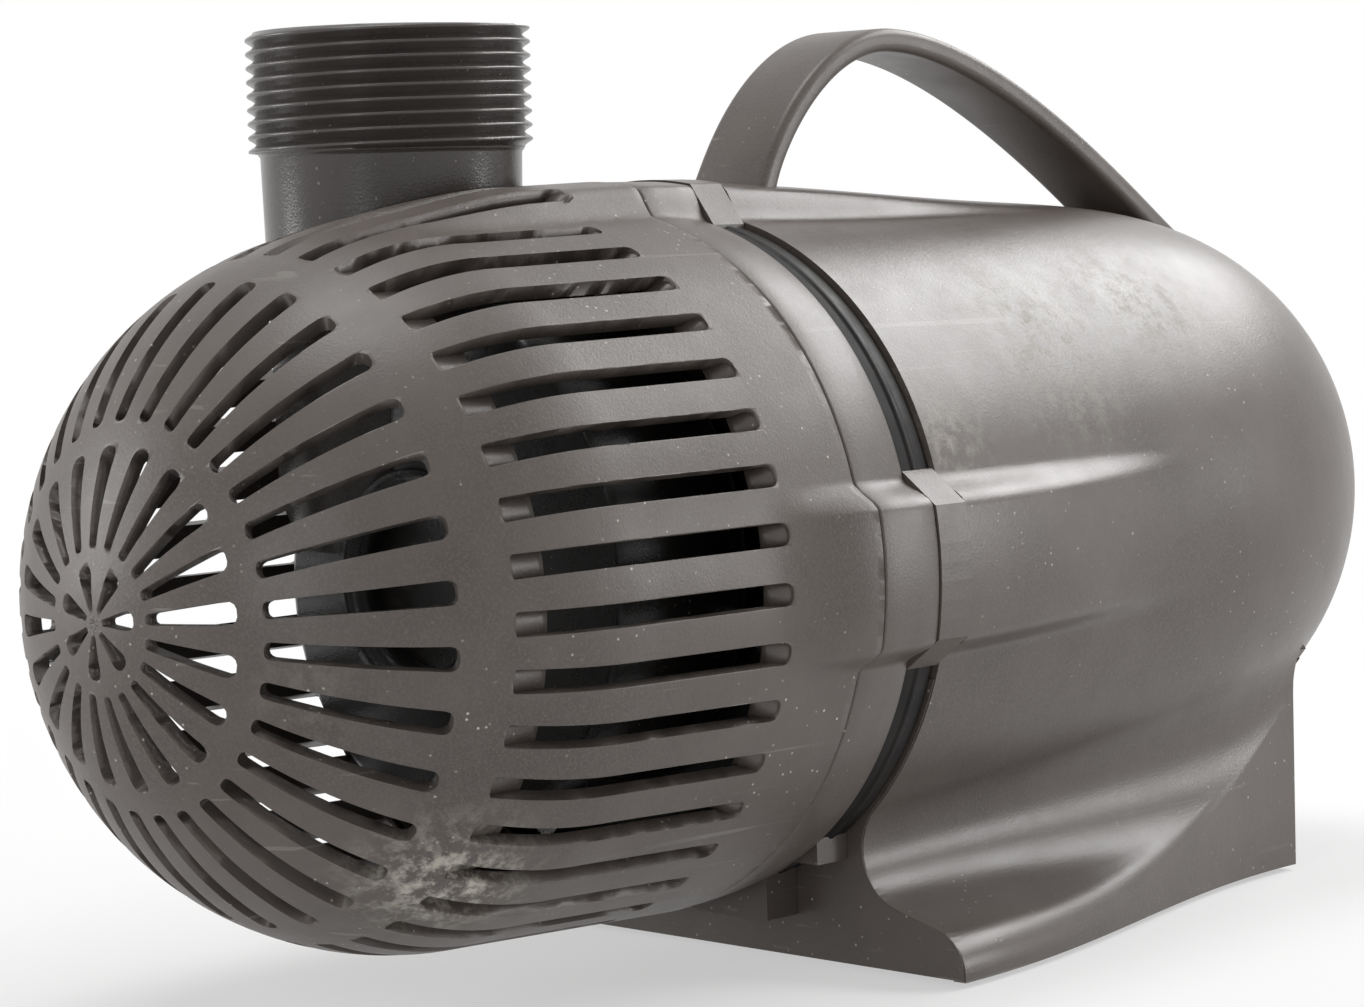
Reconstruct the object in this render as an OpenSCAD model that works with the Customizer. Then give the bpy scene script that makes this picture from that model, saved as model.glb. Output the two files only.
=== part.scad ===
// Submersible waterfall pump with a slotted strainer cage, a threaded outlet
// that stands beside the crest of the cage, and a one-piece cover that forms
// the base and the carrying handle.
// The pump axis lies along Y with the nose at -Y, and Z points up.
// The origin is at the bottom centre of the whole pump.
// Stations along the axis are measured from the tip of the nose.

/* [Strainer cage] */
// Radius of the dome, which is also the front radius of the barrel
cage_r = 58.3; // [56:0.1:62]
// Length from the nose to the rear rim
cage_l = 105.4; // [103:0.2:116]
// Radius at the rear rim
cage_rim_r = 59.8; // [59:0.1:62]
// Wall of the cage
cage_wall = 2.6; // [2:0.1:3.4]
// Clearance between the outlet's neck and its notch in the cage
notch_gap = 0.6; // [0.3:0.1:1.5]

/* [Cage slots] */
// Number of wedge slots in the nose
nose_slots = 7; // [5:1:9]
// Inner radius of the wedge slots
nose_slot_r1 = 1.8; // [1.6:0.1:3]
// Outer radius of the wedge slots
nose_slot_r2 = 8.8; // [6:0.1:9.4]
// Width of the wedge slots at their outer end
nose_slot_w = 3.6; // [2.4:0.1:4.4]
// Number of slots in the first ring
front_slots = 20; // [12:1:22]
// Radius where the first ring starts
front_slot_r1 = 11.1; // [10.4:0.1:15]
// Radius where the first ring ends
front_slot_r2 = 26.2; // [20:0.1:27.5]
// Width of the first ring's slots at their inner end
front_slot_w1 = 1.6; // [1.2:0.1:2.2]
// Width of the first ring's slots at their outer end
front_slot_w2 = 3.8; // [2.5:0.1:4.6]
// Number of slots in the second ring
dome_slots = 32; // [20:1:36]
// Radius where the second ring starts
dome_slot_r1 = 29.7; // [29:0.1:34]
// Radius where the second ring ends
dome_slot_r2 = 49.9; // [42:0.1:51]
// Width of the second ring's slots at their inner end
dome_slot_w1 = 2.6; // [1.6:0.1:3.2]
// Width of the second ring's slots at their outer end
dome_slot_w2 = 3.8; // [2.5:0.1:4.6]
// Number of slots along the barrel
side_slots = 40; // [24:4:44]
// Station where the side slots start in the dome's surface
side_slot_s1 = 35.4; // [33:0.2:42]
// Station where the side slots end
side_slot_s2 = 88.6; // [80:0.2:92]
// Width of the side slots
side_slot_w = 3.7; // [2.5:0.1:4.6]
// Length of the slope at the rear end of a side slot
slot_tail_l = 3.2; // [1:0.2:5]
// Turn of the nose and dome slots about the axis
dome_turn = 5.2; // [0:0.2:9]
// Turn of the side slots about the axis
side_turn = -0.8; // [-2:0.2:2]

/* [Lobes] */
// Radius of the raised lobes on the ring, the flange and the cover
lobe_r = 64.2; // [63:0.1:68]
// Half width of a lobe at its foot
lobe_foot_w = 16; // [12.5:0.5:18]
// Half width of a lobe at its crown
lobe_crown_w = 10.8; // [8:0.2:12]
// Length of the ramp that leads up to a side lobe on the cage
side_ramp_l = 22.5; // [16:0.5:30]
// Length of the ramp that leads up to the top lobe on the cage
top_ramp_l = 56.5; // [46:0.5:62]

/* [Outlet] */
// Station of the outlet's centre line
outlet_s = 83.1; // [81:0.1:83.4]
// Distance of the outlet's centre line from the pump axis
outlet_x = 24.3; // [24:0.1:26]
// Height of the outlet's top above the pump axis
outlet_h = 90.4; // [86:0.2:100]
// Major diameter of the pipe thread
thread_d = 47.8; // [46:0.1:49.5]
// Pitch of the pipe thread
thread_pitch = 2.309; // [2:0.001:2.6]
// Number of turns of the pipe thread
thread_turns = 8.7; // [6.5:0.1:9.6]
// Outer diameter of the neck
neck_d = 44; // [42:0.1:44.2]
// Bore of the neck
neck_bore_d = 37.6; // [34:0.2:39]
// Depth of the smooth socket inside the outlet, above the narrower throat
socket_l = 48; // [30:1:50]
// Height of the neck's round foot above the pump axis
neck_foot_h = 8; // [4:0.5:12]

/* [Volute] */
// Station of the volute's front face
volute_s = 68; // [67:0.2:70]
// Length of the scroll, its front wall included
scroll_l = 29; // [27:0.5:30]
// Wall of the volute
volute_wall = 3; // [2.4:0.1:3.6]
// Inner radius of the scroll where it starts
scroll_r = 32; // [31.5:0.2:33.5]
// Growth of the scroll's radius over its turn
scroll_growth = 10.4; // [6:0.2:11]
// Radius of the rear flange
volute_flange_r = 48; // [47:0.2:49]
// Thickness of the rear flange
volute_flange_t = 4; // [3:0.2:5]
// Radius of the inlet eye
eye_r = 14; // [12:0.5:15]
// Length of the inlet bell in front of the volute
bell_l = 5; // [4:0.5:8]

/* [Impeller] */
// Radius of the impeller
impeller_r = 29; // [26:0.5:30]
// Length of the vanes along the axis
vane_h = 14; // [10:0.5:16]
// Thickness of a vane
vane_t = 2.2; // [1.6:0.1:3]
// Number of vanes
vanes = 6; // [4:1:8]
// Sweep of a vane from its root to its tip
vane_sweep = 62; // [30:1:80]
// Thickness of the impeller's back plate
shroud_t = 2.4; // [2:0.1:3]
// Length of the impeller nut
nut_l = 6; // [5:0.2:7]
// Distance across the corners of the impeller nut
nut_d = 14.5; // [12:0.5:16]

/* [Mounting ring] */
// Width of the ring between the cage and the flange
ring_w = 13.2; // [11:0.2:18]
// Wall of the ring
ring_wall = 2.8; // [2:0.2:4]
// Depth of the lip that enters the cage
ring_lip_l = 4.8; // [3:0.2:8]
// Number of ribs inside the ring
ring_ribs = 24; // [12:4:32]

/* [Motor] */
// Wall of the motor housing
motor_wall = 3.8; // [3:0.2:4.6]
// Radius of the motor can
motor_r = 46; // [45:0.2:47]
// Length of the motor housing behind the flange
motor_l = 105; // [100:0.5:108]
// Thickness of the flange with its lobes
flange_t = 7.4; // [6:0.2:9]
// Radius of the flange between the lobes
flange_r = 56.4; // [55.4:0.2:57.4]
// Height of the thin rib around the flange
flange_rib_h = 1.2; // [0.6:0.1:1.6]
// Width of the thin rib around the flange
flange_rib_w = 1.4; // [1:0.1:2]
// Half width of the keying tab's upper step
tab_upper_w = 35.7; // [32:0.2:37]
// Half width of the keying tab's lower step
tab_lower_w = 24; // [18:0.5:28]
// Depth of the upper step below the pump axis
tab_upper_h = 50; // [48.5:0.2:52]
// Depth of the lower step below the pump axis
tab_lower_h = 60.6; // [58.5:0.2:63]
// Outer radius of the stator core
core_r = 40.6; // [38:0.2:41]
// Length of the stator core
core_l = 66; // [56:0.5:70]
// Station of the stator core's front face
core_s = 124; // [123:0.2:126]
// Number of stator slots
core_slots = 24; // [12:6:24]
// Width of a stator slot
core_slot_w = 3.2; // [2.4:0.1:3.6]
// Depth of a stator slot
core_slot_h = 8.6; // [6:0.2:9.4]
// Length of the end turns at each end of the core
end_turn_l = 10.5; // [8:0.5:11]
// Thickness of the end cap
end_cap_t = 5; // [4:0.2:7]
// Depth of the end cap's spigot
spigot_l = 7; // [5:0.2:9]

/* [Rotor] */
// Radius of the rotor
rotor_r = 21; // [19:0.2:21.6]
// Running gap between the rotor and its can
rotor_gap = 0.8; // [0.5:0.1:1.2]
// Wall of the can around the rotor
can_wall = 0.9; // [0.6:0.1:1.2]
// Radius of the shaft
shaft_r = 4.5; // [4:0.1:5]
// Radius of the rotor's hub
hub_r = 9.4; // [9:0.2:10.4]

/* [Bearings] */
// Radius of the bearing plate
plate_r = 28; // [27.4:0.2:29]
// Thickness of the bearing plate
plate_t = 5; // [4:0.2:6]
// Length of a bush
bush_l = 13; // [10:0.5:14]
// Outer radius of a bush
bush_r = 8.2; // [7.4:0.2:8.8]
// Thickness of a thrust washer
washer_t = 2; // [1.6:0.1:2.6]
// Wall of the rubber boot around the rear bush
boot_wall = 2.4; // [2:0.1:3]
// Running clearance between the shaft and its bushes
running_clearance = 0.05; // [0.02:0.01:0.09]
// Axial play of the rotor at each end
end_play = 0.4; // [0.3:0.05:0.6]

/* [Fasteners and seals] */
// Radius of the screws that clamp the ring, the flange and the cover
lobe_screw_r = 2.4; // [2:0.1:2.8]
// Length of those screws below their heads
lobe_screw_l = 32; // [27:0.5:36]
// Radius of the circle on which those screws stand
lobe_screw_pcr = 56.4; // [56:0.1:57]
// Radius of the small screws on the volute and the end cap
small_screw_r = 1.8; // [1.6:0.1:2]
// Length of the small screws below their heads
small_screw_l = 11; // [9:0.2:13]
// Number of small screws in each circle
small_screws = 4; // [4:4:8]
// Radius of the circle of the volute screws
volute_screw_pcr = 44.4; // [44.2:0.1:45]
// Radius of the section of an O-ring
oring_r = 1.2; // [1:0.05:1.4]
// Radius of the O-ring between the volute and the motor
volute_seal_r = 39.4; // [38.6:0.1:39.8]

/* [Cover and base] */
// Height of the pump axis above the ground
axis_h = 68.7; // [67:0.2:76]
// Overall length of the pump
overall_l = 279.4; // [270:0.2:300]
// Radius of the cover at its front edge
cover_r = 58.8; // [58.4:0.1:61]
// Wall of the cover
cover_wall = 2.8; // [2.4:0.1:3.4]
// Radius lost along the straight part of the cover
cover_taper = 2; // [1:0.2:5]
// Rise of the centre line from the cover's front edge to its rear end
cover_rise = 2.8; // [0:0.2:5]
// Length of the raised ridges behind the side lobes
side_ridge_l = 83; // [60:1:100]
// Length of the raised ridge under the handle
top_ridge_l = 105; // [84:1:112]
// Length of the base along the axis
base_l = 121.4; // [112:0.2:126]
// Half width of the waist above the foot
waist_w = 39; // [36:0.2:41]
// Radius of the valley above the foot at the front edge
valley_r = 9.9; // [8:0.1:11]
// Growth of the valley's radius towards the rear
valley_growth = 9.4; // [4:0.2:13]
// Radius of the foot's shoulder
shoulder_r = 6.6; // [5:0.1:8]
// Width of the foot beyond the waist at the front edge
foot_flare = 21.6; // [16:0.2:23]
// Steepest lean of the foot's top from the vertical
flare_angle = 75; // [55:1:78]
// Thickness of the wall that closes the front of the base
front_wall = 3; // [2:0.2:5]

/* [Handle] */
// Width of the strap
strap_w = 17; // [13:0.5:22]
// Thickness of the strap
strap_t = 4.3; // [3.4:0.1:5.6]
// Height of the strap's centre line above the pump axis at its crown
strap_crown_h = 88.3; // [84:0.2:98]
// Distance from the cover's front edge to the front leg
strap_front_l = 13; // [10:0.2:18]
// Distance from the front leg to the crown
strap_rise_l = 35; // [31:0.2:42]
// Distance from the crown to the rear leg
strap_fall_l = 91; // [84:0.5:94]

/* [Foot pads] */
// Diameter of a rubber pad under the base
pad_d = 10; // [8:0.5:11]
// Thickness of a rubber pad under the base
pad_t = 2.6; // [2:0.1:3.2]
// Height by which the pads stand out below the base
pad_proud = 0.6; // [0.4:0.1:1]
// Length of a pad's stem in the base
pad_stem_l = 3; // [2:0.2:4]

/* [Cable gland] */
// Depth of the gland below the pump axis
gland_h = 24; // [22:0.2:26]
// Radius of the gland's body
gland_r = 7.6; // [7:0.1:8.4]
// Length of the gland's body behind the end cap
gland_l = 15; // [12:0.5:17]
// Radius of the cable's way through the gland
cable_r = 3.8; // [3.4:0.1:4.2]
// Radius of the grommet in the cover
grommet_r = 8; // [7:0.1:9]

/* [Hidden] */

// Fits and small sizes shared by several pieces
cut = 1;
seat_gap = 0.3;
slide_gap = 0.15;
sink = 0.5;
lip_t = 2;
head_r_share = 1.75;
head_l_share = 1.2;
socket_share = 0.8;

// Stations of the stack from the nose to the rear
ring_s = cage_l;
flange_s = ring_s + ring_w;
cover_s = flange_s + flange_t;
cover_l = overall_l - cover_s;
back_s = volute_s + scroll_l;
neck_s = ring_s + slide_gap;
motor_end_s = cover_s + motor_l;
cap_end_s = motor_end_s + end_cap_t;
base_end_s = cover_s + base_l;
thread_l = thread_pitch * thread_turns;
lobe_turns = [180, 270, 360];

// Colours
plastic = [0.36, 0.34, 0.33];
dark_plastic = [0.16, 0.155, 0.15];
rubber = [0.08, 0.08, 0.08];
steel = [0.72, 0.72, 0.7];
ceramic = [0.9, 0.89, 0.85];
copper = [0.72, 0.42, 0.22];
iron = [0.45, 0.44, 0.43];

// Puts a shape that is drawn along local Z on the pump axis at a station.
// Local X stays X, local Y points down and local Z points to the rear.
module at_station(s) {
    translate([0, s - overall_l / 2, axis_h]) rotate([-90, 0, 0]) children();
}

// Puts a shape upright on the outlet's centre line at a height above the axis
module at_outlet(h) {
    translate([-outlet_x, outlet_s - overall_l / 2, axis_h + h]) children();
}

// Places copies around the axis, the first one at angle a
module around(count, a = 0) {
    for (i = [0:count - 1]) rotate([0, 0, a + i * 360 / count]) children();
}

// Places copies on a circle around the axis
module on_circle(turns, r) {
    for (a = turns) rotate([0, 0, a]) translate([r, 0, 0]) children();
}

// A flat ring
module ring(r_out, r_in, l) {
    difference() {
        cylinder(r = r_out, h = l, $fn = 96);
        translate([0, 0, -cut]) cylinder(r = r_in, h = l + 2 * cut, $fn = 96);
    }
}

// An O-ring, grown by g for its groove, with its section's centre at radius r
module oring(r, g = 0) {
    rotate_extrude($fn = 96) translate([r, 0]) circle(r = oring_r + g, $fn = 24);
}

// A screw that points to the rear with the seat of its head at local zero
module screw(r, l) {
    head_l = r * head_l_share;
    cylinder(r = r, h = l, $fn = 24);
    difference() {
        translate([0, 0, -head_l]) cylinder(r = r * head_r_share, h = head_l, $fn = 32);
        translate([0, 0, -head_l]) cylinder(r = r * socket_share, h = r, $fn = 6, center = true);
    }
}

small_screw_turn = 12;
small_screw_turns = [for (i = [0:small_screws - 1]) small_screw_turn + i * 360 / small_screws];
head_clear_l = 2 * lobe_screw_r;

// Smooth step from 0 to 1
function smooth(u) = let (v = max(0, min(1, u))) v * v * (3 - 2 * v);

// The outline of one lobe along local -Y, which is up, grown by g
module lobe_outline(g = 0) {
    intersection() {
        circle(r = lobe_r + g, $fn = 180);
        polygon([[-lobe_foot_w - g, 0], [lobe_foot_w + g, 0], [lobe_foot_w + g, lip_t - cage_r],
            [lobe_crown_w + g, lip_t / 2 - lobe_r], [lobe_crown_w + g, -lobe_r - lip_t],
            [-lobe_crown_w - g, -lobe_r - lip_t], [-lobe_crown_w - g, lip_t / 2 - lobe_r],
            [-lobe_foot_w - g, lip_t - cage_r]]);
    }
}

// The three lobes at the top and both sides
module lobes_outline(g = 0) {
    for (a = [-90, 0, 90]) rotate([0, 0, a]) lobe_outline(g);
}

// A lobe of the cage, turned by a, which rises along a ramp and is grown by g
module cage_lobe(a, ramp_l, g) {
    foot = lip_t - cage_r - g;
    rise = lobe_r - cage_r;
    over = g < 0 ? cut : 0;
    rotate([0, 0, a]) intersection() {
        translate([0, 0, cage_l - ramp_l]) linear_extrude(ramp_l + over) lobe_outline(g);
        rotate([90, 0, 90]) translate([0, 0, -lobe_r]) linear_extrude(2 * lobe_r)
            polygon([[0, cage_l - ramp_l], [foot, cage_l - ramp_l],
                [-cage_r - rise * 0.7 - g, cage_l - ramp_l * 0.45], [-lobe_r - cut, cage_l - ramp_l * 0.1],
                [-lobe_r - cut, cage_l + cut], [0, cage_l + cut]]);
    }
}

// The solid form of the cage, grown by g
module cage_form(g) {
    r1 = cage_r + g;
    r2 = cage_rim_r + g;
    over = g < 0 ? cut : 0;
    translate([0, 0, cage_r]) intersection() {
        sphere(r = r1, $fn = 96);
        translate([0, 0, -cage_r - cut]) cylinder(r = cage_r + cut, h = cage_r + cut, $fn = 96);
    }
    translate([0, 0, cage_r]) cylinder(r1 = r1, r2 = r2, h = cage_l - cage_r + over, $fn = 96);
    cage_lobe(0, top_ramp_l, g);
    cage_lobe(90, side_ramp_l, g);
    cage_lobe(-90, side_ramp_l, g);
}

// A slot's outline from r1 to r2, w1 wide at its start and w2 at its rounded end
module slot_outline(r1, r2, w1, w2) {
    polygon([[r1, -w1 / 2], [r2 - w2 * 0.4, -w2 / 2], [r2 - w2 * 0.12, -w2 * 0.36], [r2, -w2 * 0.13],
        [r2, w2 * 0.13], [r2 - w2 * 0.12, w2 * 0.36], [r2 - w2 * 0.4, w2 / 2], [r1, w1 / 2]]);
}

// Distance of the dome's surface from the nose at a radius
function dome_s(r) = cage_r - sqrt(cage_r * cage_r - r * r);

// A slot cut square to the dome between two radii
module dome_slot(r1, r2, w1, w2) {
    s1 = dome_s(r1);
    s2 = dome_s(r2);
    chord = norm([r2 - r1, s2 - s1]);
    depth = 3 * cage_wall;
    translate([r1, 0, s1]) rotate([0, -asin((s2 - s1) / chord), 0])
        translate([0, 0, -depth]) linear_extrude(2 * depth) slot_outline(0, chord, w1, w2);
}

// A slot along the barrel up to station s2 with a slope at its rear end
floor_r = cage_r * cos(asin(1 - side_slot_s1 / cage_r));
module side_slot(s2) {
    outer = lobe_r + cut;
    inner = cage_r - 2 * cage_wall;
    rotate([90, 0, 0]) translate([0, 0, -side_slot_w / 2]) linear_extrude(side_slot_w)
        polygon([[floor_r, side_slot_s1 - cage_wall], [outer, side_slot_s1 - cage_wall],
            [outer, s2 + slot_tail_l / 2], [cage_r, s2], [inner, s2 - slot_tail_l],
            [floor_r, s2 - slot_tail_l]]);
}

// Slots that would meet the outlet's notch end before it
notch_r = neck_d / 2 + notch_gap;
function slot_a(i) = i * 360 / side_slots - side_turn;
function meets_notch(i) = sin(slot_a(i)) < 0
    && abs(cage_r * cos(slot_a(i)) + outlet_x) < notch_r - side_slot_w / 4;
short_slot_s2 = outlet_s - notch_r - 2 * cage_wall;

module strainer_cage() {
    color(plastic) at_station(0) difference() {
        cage_form(0);
        cage_form(-cage_wall);
        translate([0, 0, cage_l - ring_lip_l]) linear_extrude(ring_lip_l + cut) {
            circle(r = cage_rim_r - cage_wall, $fn = 96);
            lobes_outline(-cage_wall);
        }
        around(nose_slots, dome_turn) translate([0, 0, -cut]) linear_extrude(3 * cage_wall)
            slot_outline(nose_slot_r1, nose_slot_r2, nose_slot_w / 4, nose_slot_w);
        around(front_slots, -dome_turn)
            dome_slot(front_slot_r1, front_slot_r2, front_slot_w1, front_slot_w2);
        around(dome_slots, -dome_turn)
            dome_slot(dome_slot_r1, dome_slot_r2, dome_slot_w1, dome_slot_w2);
        for (i = [0:side_slots - 1]) rotate([0, 0, slot_a(i)])
            side_slot(meets_notch(i) ? short_slot_s2 : side_slot_s2);
        translate([-outlet_x, 0, outlet_s]) rotate([90, 0, 0]) {
            cylinder(r = notch_r, h = 2 * cage_r, $fn = 96);
            translate([-notch_r, 0, 0]) cube([2 * notch_r, cage_l, 2 * cage_r]);
        }
    }
}

// Inner radius of the scroll at a fraction of its turn
function scroll(u) = scroll_r + scroll_growth * u;
scroll_steps = 36;
scroll_start = 230;
scroll_turn = 310;

// The outline of the scroll grown by g, which widens towards the neck
module scroll_outline(g) {
    circle(r = scroll_r + g, $fn = 96);
    polygon([for (i = [0:scroll_steps]) let (u = i / scroll_steps, a = scroll_start - scroll_turn * u)
        (scroll(u) + g) * [cos(a), sin(a)]]);
}

module volute() {
    neck_r = neck_d / 2;
    throat_r = neck_bore_d / 2 - lip_t / 2;
    sleeve_bore = scroll_r + lip_t / 2;
    color(dark_plastic) difference() {
        union() {
            at_station(volute_s) linear_extrude(scroll_l) scroll_outline(volute_wall);
            at_station(back_s - sink)
                cylinder(r = sleeve_bore + volute_wall, h = neck_s - back_s + sink, $fn = 96);
            at_station(neck_s - volute_flange_t)
                cylinder(r = volute_flange_r, h = volute_flange_t, $fn = 96);
            at_station(volute_s - bell_l)
                cylinder(r1 = eye_r + bell_l, r2 = eye_r + volute_wall, h = bell_l + sink, $fn = 96);
            at_outlet(neck_foot_h) sphere(r = neck_r, $fn = 64);
            at_outlet(neck_foot_h) cylinder(r = neck_r, h = outlet_h - neck_foot_h, $fn = 96);
            at_outlet(outlet_h - thread_l) cylinder(d = thread_d, h = thread_l, $fn = 96);
        }
        at_station(volute_s + volute_wall) linear_extrude(scroll_l - volute_wall) scroll_outline(0);
        at_station(back_s - cut) cylinder(r = sleeve_bore, h = neck_s - back_s + 2 * cut, $fn = 96);
        at_station(volute_s - bell_l - cut)
            cylinder(r = eye_r, h = bell_l + volute_wall + 2 * cut, $fn = 96);
        at_outlet(neck_foot_h) sphere(r = throat_r, $fn = 64);
        at_outlet(neck_foot_h) cylinder(r = throat_r, h = outlet_h - neck_foot_h, $fn = 96);
        at_outlet(outlet_h - socket_l) cylinder(d = neck_bore_d, h = socket_l + cut, $fn = 96);
        at_station(neck_s - volute_flange_t - cut) on_circle(small_screw_turns, volute_screw_pcr)
            cylinder(r = small_screw_r + slide_gap, h = volute_flange_t + 2 * cut, $fn = 24);
        at_station(neck_s) oring(volute_seal_r, slide_gap);
    }
}

module volute_seal() {
    color(rubber) at_station(neck_s) oring(volute_seal_r);
}

module volute_screws() {
    color(steel) at_station(neck_s - volute_flange_t) on_circle(small_screw_turns, volute_screw_pcr)
        screw(small_screw_r, small_screw_l);
}

// Stations of the turning pieces
shroud_s = back_s - shroud_t - 2 * end_play;
vane_s = shroud_s - vane_h;
hub_s = vane_s - lip_t;
front_bush_s = back_s;
rotor_front_s = front_bush_s + bush_l + end_play + washer_t;
core_end_s = core_s + core_l;
rear_bush_s = core_end_s + end_turn_l;
rotor_rear_s = rear_bush_s - washer_t - end_play;
can_r = rotor_r + rotor_gap + can_wall;

// One vane, swept back from the hub to the rim
vane_steps = 10;
vane_root_share = 0.8;
function vane_r(u) = hub_r * vane_root_share + (impeller_r - hub_r * vane_root_share) * u;
function vane_point(u, half) = vane_r(u) * [cos(vane_sweep * u + half / vane_r(u) * 180 / PI),
    sin(vane_sweep * u + half / vane_r(u) * 180 / PI)];

module impeller() {
    color(dark_plastic) difference() {
        union() {
            at_station(shroud_s) cylinder(r = impeller_r, h = shroud_t, $fn = 96);
            at_station(hub_s) cylinder(r = hub_r, h = shroud_s - hub_s + sink, $fn = 64);
            at_station(vane_s) around(vanes) linear_extrude(vane_h + sink)
                polygon(concat([for (i = [0:vane_steps]) vane_point(i / vane_steps, -vane_t / 2)],
                    [for (i = [vane_steps:-1:0]) vane_point(i / vane_steps, vane_t / 2)]));
        }
        at_station(hub_s - cut) cylinder(r = shaft_r, h = shroud_s - hub_s + shroud_t + 2 * cut, $fn = 48);
    }
}

module impeller_nut() {
    color(steel) at_station(hub_s - nut_l) difference() {
        cylinder(d = nut_d, h = nut_l, $fn = 6);
        translate([0, 0, -cut]) cylinder(r = shaft_r, h = nut_l + 2 * cut, $fn = 48);
    }
}

module shaft() {
    color(ceramic) at_station(hub_s - nut_l)
        cylinder(r = shaft_r, h = rear_bush_s + bush_l - end_play - hub_s + nut_l, $fn = 48);
}

module rotor_magnet() {
    color(iron) at_station(rotor_front_s) difference() {
        union() {
            cylinder(r = hub_r, h = rotor_rear_s - rotor_front_s, $fn = 64);
            translate([0, 0, core_s - rotor_front_s]) cylinder(r = rotor_r, h = core_l, $fn = 96);
        }
        translate([0, 0, -cut]) cylinder(r = shaft_r, h = rotor_rear_s - rotor_front_s + 2 * cut, $fn = 48);
    }
}

module front_washer() {
    color(ceramic) at_station(rotor_front_s - washer_t) ring(bush_r, shaft_r, washer_t);
}

module rear_washer() {
    color(ceramic) at_station(rotor_rear_s) ring(bush_r, shaft_r, washer_t);
}

module front_bush() {
    color(ceramic) at_station(front_bush_s) ring(bush_r, shaft_r + running_clearance, bush_l);
}

module rear_bush() {
    color(ceramic) at_station(rear_bush_s) ring(bush_r, shaft_r + running_clearance, bush_l);
}

module bush_boot() {
    color(rubber) at_station(rear_bush_s) difference() {
        cylinder(r = bush_r + boot_wall, h = bush_l + boot_wall, $fn = 64);
        translate([0, 0, -cut]) cylinder(r = bush_r, h = bush_l + cut, $fn = 64);
    }
}

plate_ribs = 6;
module bearing_plate() {
    hub_wall_r = bush_r + volute_wall;
    color(dark_plastic) at_station(front_bush_s) difference() {
        union() {
            cylinder(r = plate_r, h = plate_t, $fn = 96);
            cylinder(r = hub_wall_r, h = bush_l, $fn = 64);
            around(plate_ribs) translate([hub_wall_r - sink, -volute_wall / 2, plate_t - sink])
                cube([rotor_r - hub_wall_r, volute_wall, volute_wall]);
        }
        translate([0, 0, -cut]) cylinder(r = bush_r, h = bush_l + 2 * cut, $fn = 64);
    }
}

// The stepped closed can that keeps water away from the stator
module rotor_can() {
    can_front = front_bush_s + plate_t;
    can_l = rear_bush_s - can_front;
    boot_r = bush_r + boot_wall;
    boot_l = can_l + bush_l + boot_wall;
    color(steel) at_station(can_front) difference() {
        union() {
            cylinder(r = plate_r, h = can_wall, $fn = 96);
            cylinder(r = can_r, h = can_l, $fn = 96);
            cylinder(r = boot_r + can_wall, h = boot_l + can_wall, $fn = 64);
        }
        translate([0, 0, -cut])
            cylinder(r = can_r - can_wall, h = can_l - can_wall + cut, $fn = 96);
        cylinder(r = boot_r, h = boot_l, $fn = 64);
    }
}

// The can's O-ring lies in the corner behind its flange
module can_seal() {
    color(rubber) at_station(front_bush_s + plate_t + can_wall + oring_r) oring(can_r + oring_r);
}

// The ring between the cage and the flange, a ribbed channel with three lobes
module mounting_ring() {
    inner = volute_flange_r + seat_gap;
    ring_l = ring_w + ring_lip_l;
    lip_r = cage_rim_r - cage_wall - slide_gap;
    head_r = lobe_screw_r * head_r_share + seat_gap;
    color(plastic) difference() {
        at_station(ring_s) difference() {
            union() {
                linear_extrude(ring_w) {
                    circle(r = cage_rim_r, $fn = 96);
                    lobes_outline();
                }
                translate([0, 0, -ring_lip_l]) cylinder(r = lip_r, h = ring_lip_l + sink, $fn = 96);
            }
            translate([0, 0, -ring_lip_l - cut])
                cylinder(r = inner, h = ring_l + 2 * cut, $fn = 96);
            translate([0, 0, -ring_lip_l - cut]) difference() {
                cylinder(r = lip_r - lip_t, h = ring_l - ring_wall + cut, $fn = 96);
                translate([0, 0, -cut]) cylinder(r = inner + lip_t, h = ring_l + cut, $fn = 96);
                translate([0, 0, ring_lip_l + lip_t]) around(ring_ribs, 180 / ring_ribs)
                    translate([inner, -lip_t / 2, 0]) cube([cage_rim_r - inner, lip_t, ring_w]);
                translate([0, 0, ring_lip_l + lip_t]) on_circle(lobe_turns, lobe_screw_pcr)
                    cylinder(r = head_r + lip_t, h = ring_w, $fn = 32);
            }
            on_circle(lobe_turns, lobe_screw_pcr) {
                translate([0, 0, -ring_lip_l - cut])
                    cylinder(r = head_r, h = ring_lip_l + cut + head_clear_l, $fn = 32);
                cylinder(r = lobe_screw_r + slide_gap, h = ring_w + cut, $fn = 24);
            }
        }
        at_outlet(0) cylinder(r = notch_r, h = outlet_h, $fn = 64);
    }
}

module lobe_screws() {
    color(steel) at_station(ring_s + head_clear_l) on_circle(lobe_turns, lobe_screw_pcr)
        screw(lobe_screw_r, lobe_screw_l);
}

// The stepped tab that keys the flange into the base's front wall, grown by g
module tab_outline(g = 0) {
    translate([-tab_upper_w - g, 0]) square([2 * (tab_upper_w + g), tab_upper_h + g]);
    translate([-tab_lower_w - g, 0]) square([2 * (tab_lower_w + g), tab_lower_h + g]);
}

end_screw_pcr = motor_r - motor_wall / 2;
end_thread_l = small_screw_l - lip_t;
seat_ribs = 12;

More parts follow.
